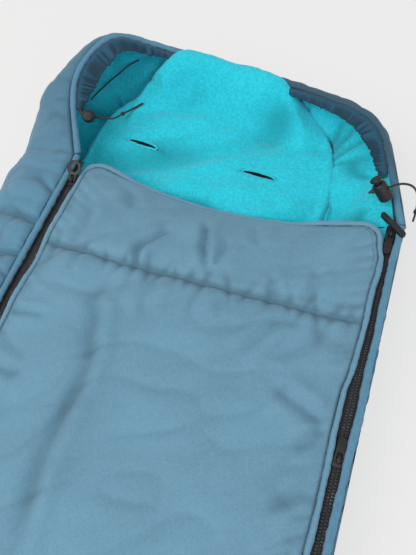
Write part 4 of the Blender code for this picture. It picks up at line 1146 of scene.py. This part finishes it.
def lean_on_zip(spots):
    """Sways the cover's sides and their piping over the zips here and there, as soft cloth lies."""
    across, along, _ = spots.T
    side = np.sign(across - COVER_MIDDLE)
    near = 1 - rise(COVER_HALF - np.abs(across - COVER_MIDDLE), 0.0, 0.034)
    near = near * (1 - rise(along, COVER_TOP - 0.040, COVER_TOP - 0.012))
    run = on_plane(along, side)
    drawn = window(along, 0.085, 0.125, 0.205, 0.235) * (side > 0)
    loose = (lumps(run, (0.048, 1.0, 1.0), 87) * 1.5 + 0.40) * (0.4 + 0.6 * rise(along, 0.02, 0.08))
    over = np.clip(loose + 1.3 * drawn, -0.5, 2.0) * near
    parked = window(along, 0.026, 0.040, 0.080, 0.096) * (side > 0)
    over = over * (1 - parked) - 0.3 * near * parked
    out = spots.copy()
    out[:, 0] += side * 0.0025 * over
    out[:, 2] += 0.0011 * np.clip(over, 0, 1) + 0.0008 * lumps(run, (0.031, 1.0, 1.0), 88) * near
    return out


def cover_half_at(along):
    """The cover's half width, less where its corners turn."""
    into = np.maximum(COVER_CORNER - (along - COVER_LOW.y), COVER_CORNER - (COVER_TOP - along))
    into = np.clip(into, 0.0, COVER_CORNER)
    return COVER_HALF - (COVER_CORNER - np.sqrt(COVER_CORNER**2 - into**2))


# The long fold's points, from the quilted line towards the foot
LONG_FOLD = (
    (-0.0279, 0.1423), (-0.0379, 0.1172), (-0.0449, 0.0967), (-0.0320, 0.0816), (-0.0290, 0.0607), (-0.0200, 0.0474),
    (-0.0192, 0.0138), (-0.0208, -0.0225), (-0.0223, -0.0568), (-0.0162, -0.0889), (-0.0118, -0.1258),
    (-0.0110, -0.1800),
)
# Each line's points, its half width, its depth, and how high the ridge beside it stands
COVER_CREASES = (
    (((-0.0195, 0.1415), (-0.0243, 0.1696), (-0.0089, 0.1900), (0.0010, 0.2150)), 0.0055, 0.0034, 0.0020),
    (((0.0320, 0.2380), (0.0380, 0.2098), (0.0450, 0.1857), (0.0559, 0.1560)), 0.0050, 0.0040, 0.0018),
    (((0.0598, 0.1700), (0.0650, 0.2150)), 0.0060, 0.0026, 0.0014),
    (((0.1265, 0.1420), (0.1195, 0.1820)), 0.0050, 0.0026, 0.0012),
    (((0.1500, 0.1440), (0.1620, 0.1760), (0.1600, 0.2050)), 0.0060, 0.0018, 0.0012),
    (((-0.0950, 0.1440), (-0.0900, 0.1800), (-0.0960, 0.2200)), 0.0070, 0.0022, 0.0014),
    (((0.0860, 0.2450), (0.0930, 0.2100)), 0.0070, 0.0020, 0.0012),
    (((-0.0640, 0.2500), (-0.0520, 0.2180)), 0.0080, 0.0020, 0.0012),
    (((0.1428, 0.1386), (0.1245, 0.1036), (0.1064, 0.0791)), 0.0065, 0.0022, 0.0018),
    (((0.2049, 0.0469), (0.1746, 0.0566), (0.1428, 0.0668)), 0.0070, 0.0024, 0.0018),
    (((0.1850, 0.1290), (0.1575, 0.1028), (0.1327, 0.0845)), 0.0080, 0.0016, 0.0014),
    (((-0.1260, 0.0600), (-0.1144, 0.0641), (-0.0953, 0.0682), (-0.0750, 0.0697)), 0.0045, 0.0020, 0.0012),
    (((-0.1240, 0.0150), (-0.0950, 0.0050), (-0.0700, 0.0090)), 0.0060, 0.0018, 0.0012),
    (((0.2051, 0.0447), (0.1900, 0.0250), (0.1750, 0.0180)), 0.0050, 0.0022, 0.0012),
    (((0.2040, -0.0059), (0.1860, -0.0200), (0.1700, -0.0420)), 0.0060, 0.0022, 0.0014),
    (((0.2040, -0.0572), (0.1800, -0.0780)), 0.0060, 0.0022, 0.0012),
    (((0.0109, 0.1407), (0.0060, 0.1160), (0.0130, 0.0900)), 0.0060, 0.0016, 0.0010),
    (((0.0815, 0.1397), (0.0800, 0.1130)), 0.0055, 0.0016, 0.0010),
    (((-0.0791, 0.1409), (-0.0830, 0.1200)), 0.0050, 0.0014, 0.0010),
    (((0.0500, -0.1800), (0.0900, -0.2400), (0.1000, -0.3100)), 0.0110, 0.0024, 0.0020),
    (((-0.0700, -0.2300), (-0.0400, -0.2900), (-0.0300, -0.3600)), 0.0110, 0.0024, 0.0020),
    (((0.1850, -0.1700), (0.1500, -0.2000), (0.1300, -0.2400)), 0.0080, 0.0018, 0.0014),
    (((-0.1240, -0.1500), (-0.0900, -0.1700), (-0.0650, -0.2100)), 0.0080, 0.0018, 0.0014),
)
# Where puckers cross the quilted line
PUCKERS = (-0.1100, -0.0791, -0.0526, -0.0330, -0.0201, -0.0050, 0.0109, 0.0250, 0.0399, 0.0560, 0.0815, 0.1000,
           0.1217, 0.1428, 0.1580, 0.1686, 0.1850, 0.1980)


def cover_height(across, along):
    """The cover's outside: how high it stands over its sewn edge, and how much shade is painted in its creases, its
    quilted groove and at its hem, at each place.
    """
    half = cover_half_at(along)
    side_gap = half - np.abs(across - COVER_MIDDLE)
    end_gap = np.minimum(along - COVER_LOW.y, COVER_TOP - along)
    edge = np.minimum(side_gap, end_gap)
    flat = on_plane(across, along)
    wobble = 0.0016 * lumps(flat, (0.03, 1.0, 1.0), 51) + 0.0009 * lumps(flat, (0.009, 1.0, 1.0), 50)
    off_seam = np.abs(along - QUILT_Y - wobble)
    roll = 1 - np.exp(-np.maximum(edge, 0) / 0.0075)
    crown = np.sin(np.pi / 2 * np.clip(side_gap / 0.150, 0, 1)) * np.sin(np.pi / 2 * np.clip(end_gap / 0.06, 0, 1))
    band = rise(along, QUILT_Y - 0.004, QUILT_Y + 0.020)
    height = 0.0034 * roll + (0.0044 + 0.0014 * band) * crown * roll
    puckers = np.zeros(len(across))
    for k, spot in enumerate(PUCKERS):
        lean = 0.35 * math.sin(k * 2.4)
        reach = 0.010 + 0.009 * (0.5 + 0.5 * math.sin(k * 5.1))
        gap = np.abs(across - spot - lean * (along - QUILT_Y))
        puckers = puckers + bell(gap, 0.0026 + 0.10 * off_seam) * np.exp(-off_seam / reach)
    puckers = np.clip(puckers, 0, 1)
    groove = bell(off_seam, 0.0050, 1.3)
    line = bell(off_seam, 0.0016)
    groove_depth = 0.0080 * (0.12 + 0.88 * roll)
    height = height - groove_depth * groove - 0.0012 * line * roll - 0.0042 * puckers * (1 - 0.6 * groove) * roll
    # Painted shade in the quilted groove, on its stitched line and in the puckers
    fold = 0.66 * groove + 1.0 * line + 0.75 * puckers
    near, signed, fade = crease(across, along, LONG_FOLD, 0.0088)
    ridge = bell(signed + 0.014, 0.0100) * fade
    other = bell(signed - 0.017, 0.0120) * fade
    height = height - 0.0060 * near + 0.0050 * ridge + 0.0014 * other
    # Painted shade in the long fold
    fold = fold + 0.66 * near
    wander = 0.0016 * lumps(flat, 0.018, 57)
    for points, width, depth, raised in COVER_CREASES:
        near, signed, fade = crease(across + wander, along + wander, points, 0.75 * width)
        beside = bell(np.abs(signed) - 1.8 * width, 1.2 * width) * fade
        height = height + (1.8 * raised * beside - 1.5 * depth * near) * rise(edge, 0.0, 0.008)
        # Painted shade in each crease
        fold = fold + 0.42 * near * depth / 0.003
    slanting = on_plane(across * 0.82 + along * 0.57, along * 0.82 - across * 0.57)
    slanting = slanting + 0.010 * on_plane(lumps(flat, 0.05, 58), lumps(flat, 0.05, 59))
    soft = lumps(slanting, (0.085, 0.036, 1.0), 52) * 0.0030 + lumps(slanting, (0.040, 0.017, 1.0), 53) * 0.0013
    soft = soft + lumps(slanting, (0.017, 0.008, 1.0), 60) * 0.0004
    crooked = veins(slanting, (0.090, 0.040, 1.0), 54, 2.8)
    from_edge = np.exp(-np.maximum(side_gap, 0) / 0.016)
    tucks = veins(on_line(along + 0.4 * side_gap), 0.014, 55, thinness=2.4)
    height = height + (soft - 0.0023 * crooked) * roll - 0.0030 * tucks * from_edge * rise(edge, 0.0015, 0.006)
    top_tucks = veins(on_line(across), 0.017, 56, thinness=2.4)
    from_top = np.exp(-np.maximum(COVER_TOP - along, 0) / 0.013)
    height = height - 0.0014 * top_tucks * from_top * rise(edge, 0.001, 0.005)
    # Painted shade in the crooked creases, in the tucks by the sides and under the rolled hem
    hem_shade = 0.8 * (1 - rise(edge, 0.0006, 0.0028)) * (1 - 0.8 * top_middle(flat))
    fold = fold + 0.30 * crooked + 0.55 * tucks * from_edge + hem_shade
    return height, np.clip(fold, 0, 1), edge


def cover_grid(cell):
    """A flat grid with the cover's outline."""
    columns = int(round(2 * COVER_HALF / cell))
    rows = int(round((COVER_TOP - COVER_LOW.y) / cell))
    body = bmesh.new()
    bmesh.ops.create_grid(body, x_segments=columns, y_segments=rows, size=0.5)
    data = mesh_of(body, "cover")
    spots = points_of(data)
    share = spots[:, 0] * 2
    along = COVER_LOW.y + (spots[:, 1] + 0.5) * (COVER_TOP - COVER_LOW.y)
    spots[:, 0] = COVER_MIDDLE + share * cover_half_at(along)
    spots[:, 1] = along
    return data, spots


def make_cover_cloth():
    data, spots = cover_grid(0.0027)
    height, fold, edge = cover_height(spots[:, 0], spots[:, 1])
    spots[:, 2] = RIM_HEIGHT + height - 0.0020 * (1 - rise(edge, 0.0, 0.0025))
    spots[:, 0] += np.sign(spots[:, 0] - COVER_MIDDLE) * 0.0010 * (1 - rise(edge, 0.0, 0.004))
    put_points(data, slack(lean_on_zip(spots)))
    lay_cloth(data, spots[:, 0], spots[:, 1])
    across, along, _ = spots.T
    at_side = np.abs(across - COVER_MIDDLE) > COVER_HALF - 0.02
    corner = rise(across, 0.120, 0.135) * rise(along, 0.195, 0.210)
    off = np.where(corner > 0.5, edge, NO_STITCHES)
    carry(data, along=np.where(at_side, along, across), off=off, fold=fold)
    data = thickened(data, 0.0010)
    cad_layers = ("cover_outer", "cover_wadding_lower", "cover_wadding_band")
    cloth = finish_piece("cover_cloth", data, None, "cover_cloth", *cad_layers)
    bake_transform(cloth)


def make_cover_lining():
    data, spots = cover_grid(0.0040)
    across, along = spots[:, 0], spots[:, 1]
    half = cover_half_at(along)
    edge = np.minimum(half - np.abs(across - COVER_MIDDLE), np.minimum(along - COVER_LOW.y, COVER_TOP - along))
    flat = on_plane(across, along)
    groove = bell(np.abs(along - QUILT_Y), 0.008, 1.3)
    drop = 0.0052 + 0.0030 * rise(edge, 0.0, 0.030) + 0.0052 * groove
    drop = drop + lumps(flat, 0.05, 61) * 0.0011 + lumps(flat, 0.0035, 62) * 0.0003
    spots[:, 2] = RIM_HEIGHT - drop
    put_points(data, slack(lean_on_zip(spots)))
    body = opened(data)
    bmesh.ops.reverse_faces(body, faces=body.faces)
    data = mesh_of(body, "cover lining")
    # Painted shade in the lining's quilted groove
    carry(data, fold=np.clip(0.7 * groove, 0, 1))
    data = thickened(data, FLEECE_DEPTH)
    lining = finish_piece("cover_lining", data, None, "fleece", "cover_fleece")
    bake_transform(lining)


make_cover_cloth()
make_cover_lining()


# Rolled edges: the welts, the piping, and the gathered channel


WELT_RADIUS = 0.0038
PIPING_RADIUS = 0.0030


def rolled_edge(name, line, radius, body, slot, node, seed, passes=0, groove=0.0, sway=None):
    """A cord covered in cloth, with the small tucks of its seam and the groove of a second row of stitches, and
    painted shade in its tucks, on its underside and at the hood's back.
    """
    data, along, angle, outwards, _ = rod(eased(line, passes), radius, 0.0018, 24)
    spots = points_of(data)
    strip = on_plane(along, angle * 0.002)
    tucks = veins(strip, 0.010, seed, 1.5, 2.6)
    low = rise(-np.sin(angle), -0.55, 0.6)
    stitched = groove * bell(angle - math.pi / 2, 0.24) * (0.75 + 0.6 * lumps(strip, 0.007, seed + 4))
    depth = 0.0007 * lumps(strip, 0.030, seed + 1) - 0.0009 * tucks * (low + 0.35)
    depth = depth - 0.0003 * lumps(strip, 0.004, seed + 2)
    spots = spots + outwards * (depth - 0.0020 * stitched)[:, None]
    spots[:, 2] += 0.0008 * lumps(strip, 0.060, seed + 3)
    if sway is not None:
        spots = sway(spots)
    put_points(data, spots)
    # Painted shade in the tucks and on the roll's underside, and on the hood's back, which is turned from the light
    fold = np.clip(0.6 * tucks * (low + 0.3) + 0.7 * low + 0.9 * stitched, 0, 1)
    away = rise(spots[:, 1] + 0.5 * spots[:, 0], 0.385, 0.45)
    carry(data, along=along, off=NO_STITCHES, fold=fold, away=away)
    finish_piece(name, data, body, slot, node)


def lay_piping(spots):
    """Leans the piping on the zips, and sinks it behind the middle of the cover's free edge."""
    sunk = top_middle(spots)[:, None] * rise(spots[:, 1:2], COVER_TOP - 0.040, COVER_TOP - 0.020)
    return lean_on_zip(spots) - sunk * (0.0, 0.0022, 0.0026)


def lean_in(spots):
    """Brings the right welt in over the zip here and there."""
    straight = 1 - rise(spots[:, 1], 0.215, 0.245)
    inwards = 0.0027 * np.clip(lumps(on_line(spots[:, 1]), 0.060, 89) + 0.55, 0, 1) * straight
    return spots - inwards[:, None] * (1.0, 0.0, 0.0)


def make_welt(name, line, node, seed, **shape):
    rolled_edge(name, line, WELT_RADIUS, "shell", "shell_cloth", node, seed, **shape)


make_welt("welt_left", left_welt_line, "shell_welt_left", 81)
make_welt("welt_right", right_welt_line, "shell_welt_right", 82, groove=1.0, sway=lean_in)
make_welt("welt_hood", hood_welt_line, "hood_welt", 83, passes=2, groove=0.3)
piping_line = centreline("cover_piping")
rolled_edge(
    "piping", piping_line, PIPING_RADIUS, "cover", "cover_cloth", "cover_piping", 84, passes=2, sway=lay_piping
)


def channel_line():
    """The gathered channel's middle line, from the draw cord inside it, and a little way down its two ends."""
    left = centreline("cord_tail_left", lambda end: (end - LEFT_MOUTH).length)
    right = centreline("cord_tail_right", lambda end: (end - RIGHT_MOUTH).length)
    return eased([left[1]] + draw_cord_line + right[1:3], 2)


CASING_RADIUS = 0.0062
RIB_PITCH = 0.0054
# Distances from the casing's mouth, and how much wider it is there, at the left and at the right
CASING_LEFT = ((0.0, 0.015, 0.040, 0.075, 0.100, 0.140, 0.180), (0.0, 0.0035, 0.0110, 0.0140, 0.0085, 0.0030, 0.0))
CASING_RIGHT = ((0.0, 0.020, 0.055, 0.080, 0.120, 0.170), (0.0, 0.0015, 0.0075, 0.0060, 0.0020, 0.0))


def make_channel():
    """A flat casing of cloth along the hood's edge: smooth outside, drawn into small pleats along its inner edge."""
    data, along, angle, outwards, seam = rod(channel_line(), CASING_RADIUS, 0.0009, 32)
    back = seam.walked[-1] - along
    middles, _, side, over = seam.beside(points_of(data))
    rim = outwards.any(axis=1)
    inner, upper = np.cos(angle) * rim, np.sin(angle) * rim
    hidden = window(middles[:, 0], -0.140, -0.090, 0.055, 0.135)
    shut = rise(np.minimum(along, back), -0.004, 0.022)
    wide = np.interp(along, *CASING_LEFT) + np.interp(back, *CASING_RIGHT)
    gather = np.clip(0.60 + 0.5 * np.exp(-along / 0.060) + 0.5 * np.exp(-back / 0.050), 0, 1)
    lean = along + 0.0028 * inner * np.sin(along * 31)
    uneven = 0.0016 * lumps(on_plane(along, angle * 0.004), 0.012, 92)
    strip = on_plane(lean + uneven, angle * 0.0006)
    pleats = lumps(strip, 0.0046, 91)
    deep = veins(strip, 0.0080, 93, 1.2, 2.0)
    close = (1 - rise(along, 0.030, 0.062)) + (1 - rise(back, 0.022, 0.050))
    ribs = np.sin(math.tau * (lean + 1.6 * uneven) / RIB_PITCH) * close
    ruffle = np.clip(inner, 0, 1) ** 2 * gather
    drawn = rise(inner, -0.70, 0.60) * gather
    reach = inner * CASING_RADIUS * (0.55 + 0.45 * shut) * (1 - 0.30 * hidden)
    reach = reach + wide * np.clip(inner, 0, 1) ** 1.2
    reach = reach + (0.0026 * pleats - 0.0022 * deep) * ruffle - 0.0022 * np.clip(-inner, 0, 1)
    swell = (0.0042 + 0.0014 * lumps(strip, 0.022, 94)) * (1 - 0.25 * hidden)
    lift = upper * swell - 0.30 * np.clip(inner, 0, 1) * wide
    raised = np.maximum(0.0028 * pleats - 0.0058 * deep + 0.0016 * ribs, -0.0030)
    lift = lift + np.sign(upper) * raised * drawn * rise(np.abs(upper), 0.05, 0.5)
    put_points(data, middles + side * reach[:, None] + over * lift[:, None])
    # Painted shade in the pleats' hollows and along the inner edge, deepened again where the pleats are darkest
    shaded = 1.6 * deep + 1.2 * np.clip(-pleats, 0, 1) + 1.2 * np.clip(-ribs, 0, 1)
    fold = np.clip(shaded * drawn + 0.6 * rise(inner, 0.72, 0.98), 0, 1)
    away = 0.70 * np.clip(shaded * drawn - 0.25, 0, 1)
    carry(data, along=along, off=0.0042 + 0.0030 * np.abs(inner + 0.55), fold=fold, away=away)
    finish_piece("gathered_channel", data, "shell", "shell_cloth", "cord_channel", finish=CASING_CLOTH_PAINTED_SHADE)


make_channel()


# Zips


TOOTH_PITCH = 0.0027
# Half the gap between two tapes that meet
TAPE_GAP = 0.00003


def zip_middle(side):
    low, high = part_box(f"zip_box_{side}")
    return (low.x + high.x) / 2


def rounded(body, edges, depth, segments):
    """Takes the sharpness off edges."""
    form = {"segments": segments, "profile": 0.5, "material": -1, "clamp_overlap": True}
    bmesh.ops.bevel(body, geom=edges, offset=depth, affect="EDGES", **form)


def block(body, sizes, spot):
    verts = bmesh.ops.create_cube(body, size=1.0)["verts"]
    bmesh.ops.scale(body, verts=verts, vec=sizes)
    bmesh.ops.translate(body, verts=verts, vec=spot)


def make_tape(node, body, side, seed):
    """A zip's woven tape, a little wavy."""
    low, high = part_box(node)
    rows = int(round((high.y - low.y) / 0.004))
    made = opened(mesh_of(merged(node), node))
    long_edges = [edge for edge in made.edges if abs(edge.verts[0].co.y - edge.verts[1].co.y) > 0.1]
    bmesh.ops.subdivide_edges(made, edges=long_edges, cuts=rows, use_grid_fill=True)
    data = mesh_of(made, node)
    spots = points_of(data)
    lay_cloth(data, spots[:, 0], spots[:, 1])
    spots[:, 2] += 0.00025 * lumps(spots, 0.020, seed)
    middle = zip_middle(side)
    beside = np.abs(spots[:, 0] - middle) < 0.006
    spots[:, 0] = np.where(beside, middle + np.sign(spots[:, 0] - middle) * TAPE_GAP, spots[:, 0])
    put_points(data, spots)
    finish_piece(node.replace("zip_tape", "tape"), data, body, "black_tape", node, smooth=False)


def make_teeth(node, body, side, offset):
    """A row of moulded teeth, each with a head towards the zip's middle, offset by a share of a tooth."""
    low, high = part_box(node)
    level = (low.z + high.z) / 2
    middle = zip_middle(side)
    way = 1 if (low.x + high.x) / 2 > middle else -1
    row = bmesh.new()
    for k in range(int((high.y - low.y - 0.002) / TOOTH_PITCH)):
        y = low.y + 0.0012 + (k + offset) * TOOTH_PITCH
        if y <= high.y - 0.0009:
            block(row, (0.001722, 0.000864, 0.0028), (middle + way * 0.00242, y, level))
            block(row, (0.0011, 0.0016, 0.0018), (middle + way * 0.00125, y, level))
    rounded(row, row.edges[:], 0.00022, 1)
    data = mesh_of(row, node)
    finish_piece(node.replace("zip_teeth", "teeth"), data, body, "black_plastic", node, finish=TEETH_PAINTED_GLINTS, smooth=False)


for seed, side in ((101, "left"), (102, "right")):
    for body, offset in (("shell", 0.0), ("cover", 0.5)):
        make_tape(f"zip_tape_{body}_{side}", body, side, seed)
        make_teeth(f"zip_teeth_{body}_{side}", body, side, offset)


def hardware(node, body):
    """A CAD node's shape with its moulded edges rounded."""
    made = opened(frame["nodes"][node].data, weld=True)
    bmesh.ops.dissolve_limit(made, angle_limit=0.03, verts=made.verts, edges=made.edges)
    sharp = [edge for edge in made.edges if len(edge.link_faces) == 2 and edge.calc_face_angle(0.0) > 0.6]
    rounded(made, sharp, 0.0004, 2)
    data = mesh_of(made, node)
    finish_piece(f"{node}_moulded", data, body, "black_plastic", node)
    data.set_sharp_from_angle(angle=math.radians(50))


# Each kind of moulded piece, and the body that it rides on
for kind, body in (
    ("zip_box", "shell"),
    ("zip_slider", "top_slider_{}"),
    ("lower_slider", "low_slider_{}"),
    ("zip_pull", "top_pull_{}"),
    ("lower_pull", "low_pull_{}"),
    ("zip_grip", "grip_{}"),
    ("lock_barrel", "lock_{}"),
    ("lock_plunger", "button_{}"),
):
    for side in SIDES:
        if f"{kind}_{side}" in frame["nodes"]:
            hardware(f"{kind}_{side}", body.format(side))


# The line that each button moves on
BUTTON_WAYS = {"left": Vector((0.38036, -0.59447, 0.70847)), "right": Vector((-0.64499, 0.30138, 0.70225))}
for side, way in BUTTON_WAYS.items():
    data = mesh_of(merged(f"lock_spring_{side}"), "spring")
    spring = finish_piece(f"coil_spring_{side}", data, f"lock_{side}", "spring_steel", f"lock_spring_{side}")
    spots = points_of(data)
    reaches = spots @ np.array(way)
    foot = Vector(spots[int(reaches.argmin())].tolist())
    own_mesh(spring)


# The floor, the lights and the plain pale surroundings


FLOOR_HALF = 30.0
FLOOR_LEVEL = -0.0004


def make_floor():
    """A pale floor that glows to the camera alone, so that it looks even."""
    body = bmesh.new()
    bmesh.ops.create_grid(body, x_segments=1, y_segments=1, size=FLOOR_HALF)
    data = mesh_of(body, "floor")
    pale = Finish("floor", Roughness=0.9, Specular_IOR_Level=0.1, Emission_Strength=0.66)
    tint = pale.noise(pale.place(), 0.8, 2.0)
    seen = pale.node("ShaderNodeLightPath")
    plain = pale.mix(tint, (0.800, 0.803, 0.795, 1.0), (0.815, 0.818, 0.810, 1.0))
    pale.feed("Base Color", pale.mix(seen, plain, (0.200, 0.200, 0.198, 1.0)))
    pale.feed("Emission Color", pale.mix(seen, (0.0, 0.0, 0.0, 1.0), (1.0, 1.0, 0.99, 1.0)))
    data.materials.append(pale.material)
    floor = placed("floor", data)
    floor.location = (0.0, 0.0, FLOOR_LEVEL)


make_floor()


def area_light(name, place, target, size, power, colour):
    lamp = bpy.data.lights.new(name, "AREA")
    lamp.shape = "DISK"
    lamp.size = size
    lamp.energy = power
    lamp.color = colour
    item = placed(name, lamp)
    item.location = place
    way = Vector(target) - Vector(place)
    item.rotation_euler = way.to_track_quat("-Z", "Y").to_euler()


area_light("key", (-0.90, -1.15, 2.25), (0.0, 0.1, 0.0), 2.2, 38.0, (1.0, 0.99, 0.97))
area_light("fill", (1.6, -1.0, 1.8), (0.0, 0.0, 0.0), 2.4, 11.0, (0.97, 0.985, 1.0))
world = bpy.data.worlds.new("surroundings")
bpy.context.scene.world = world
world.use_nodes = True
glow = world.node_tree.nodes["Background"].inputs
glow["Color"].default_value = (0.95, 0.975, 1.0, 1.0)
glow["Strength"].default_value = 0.55
bpy.context.scene.view_settings.view_transform = "Standard"
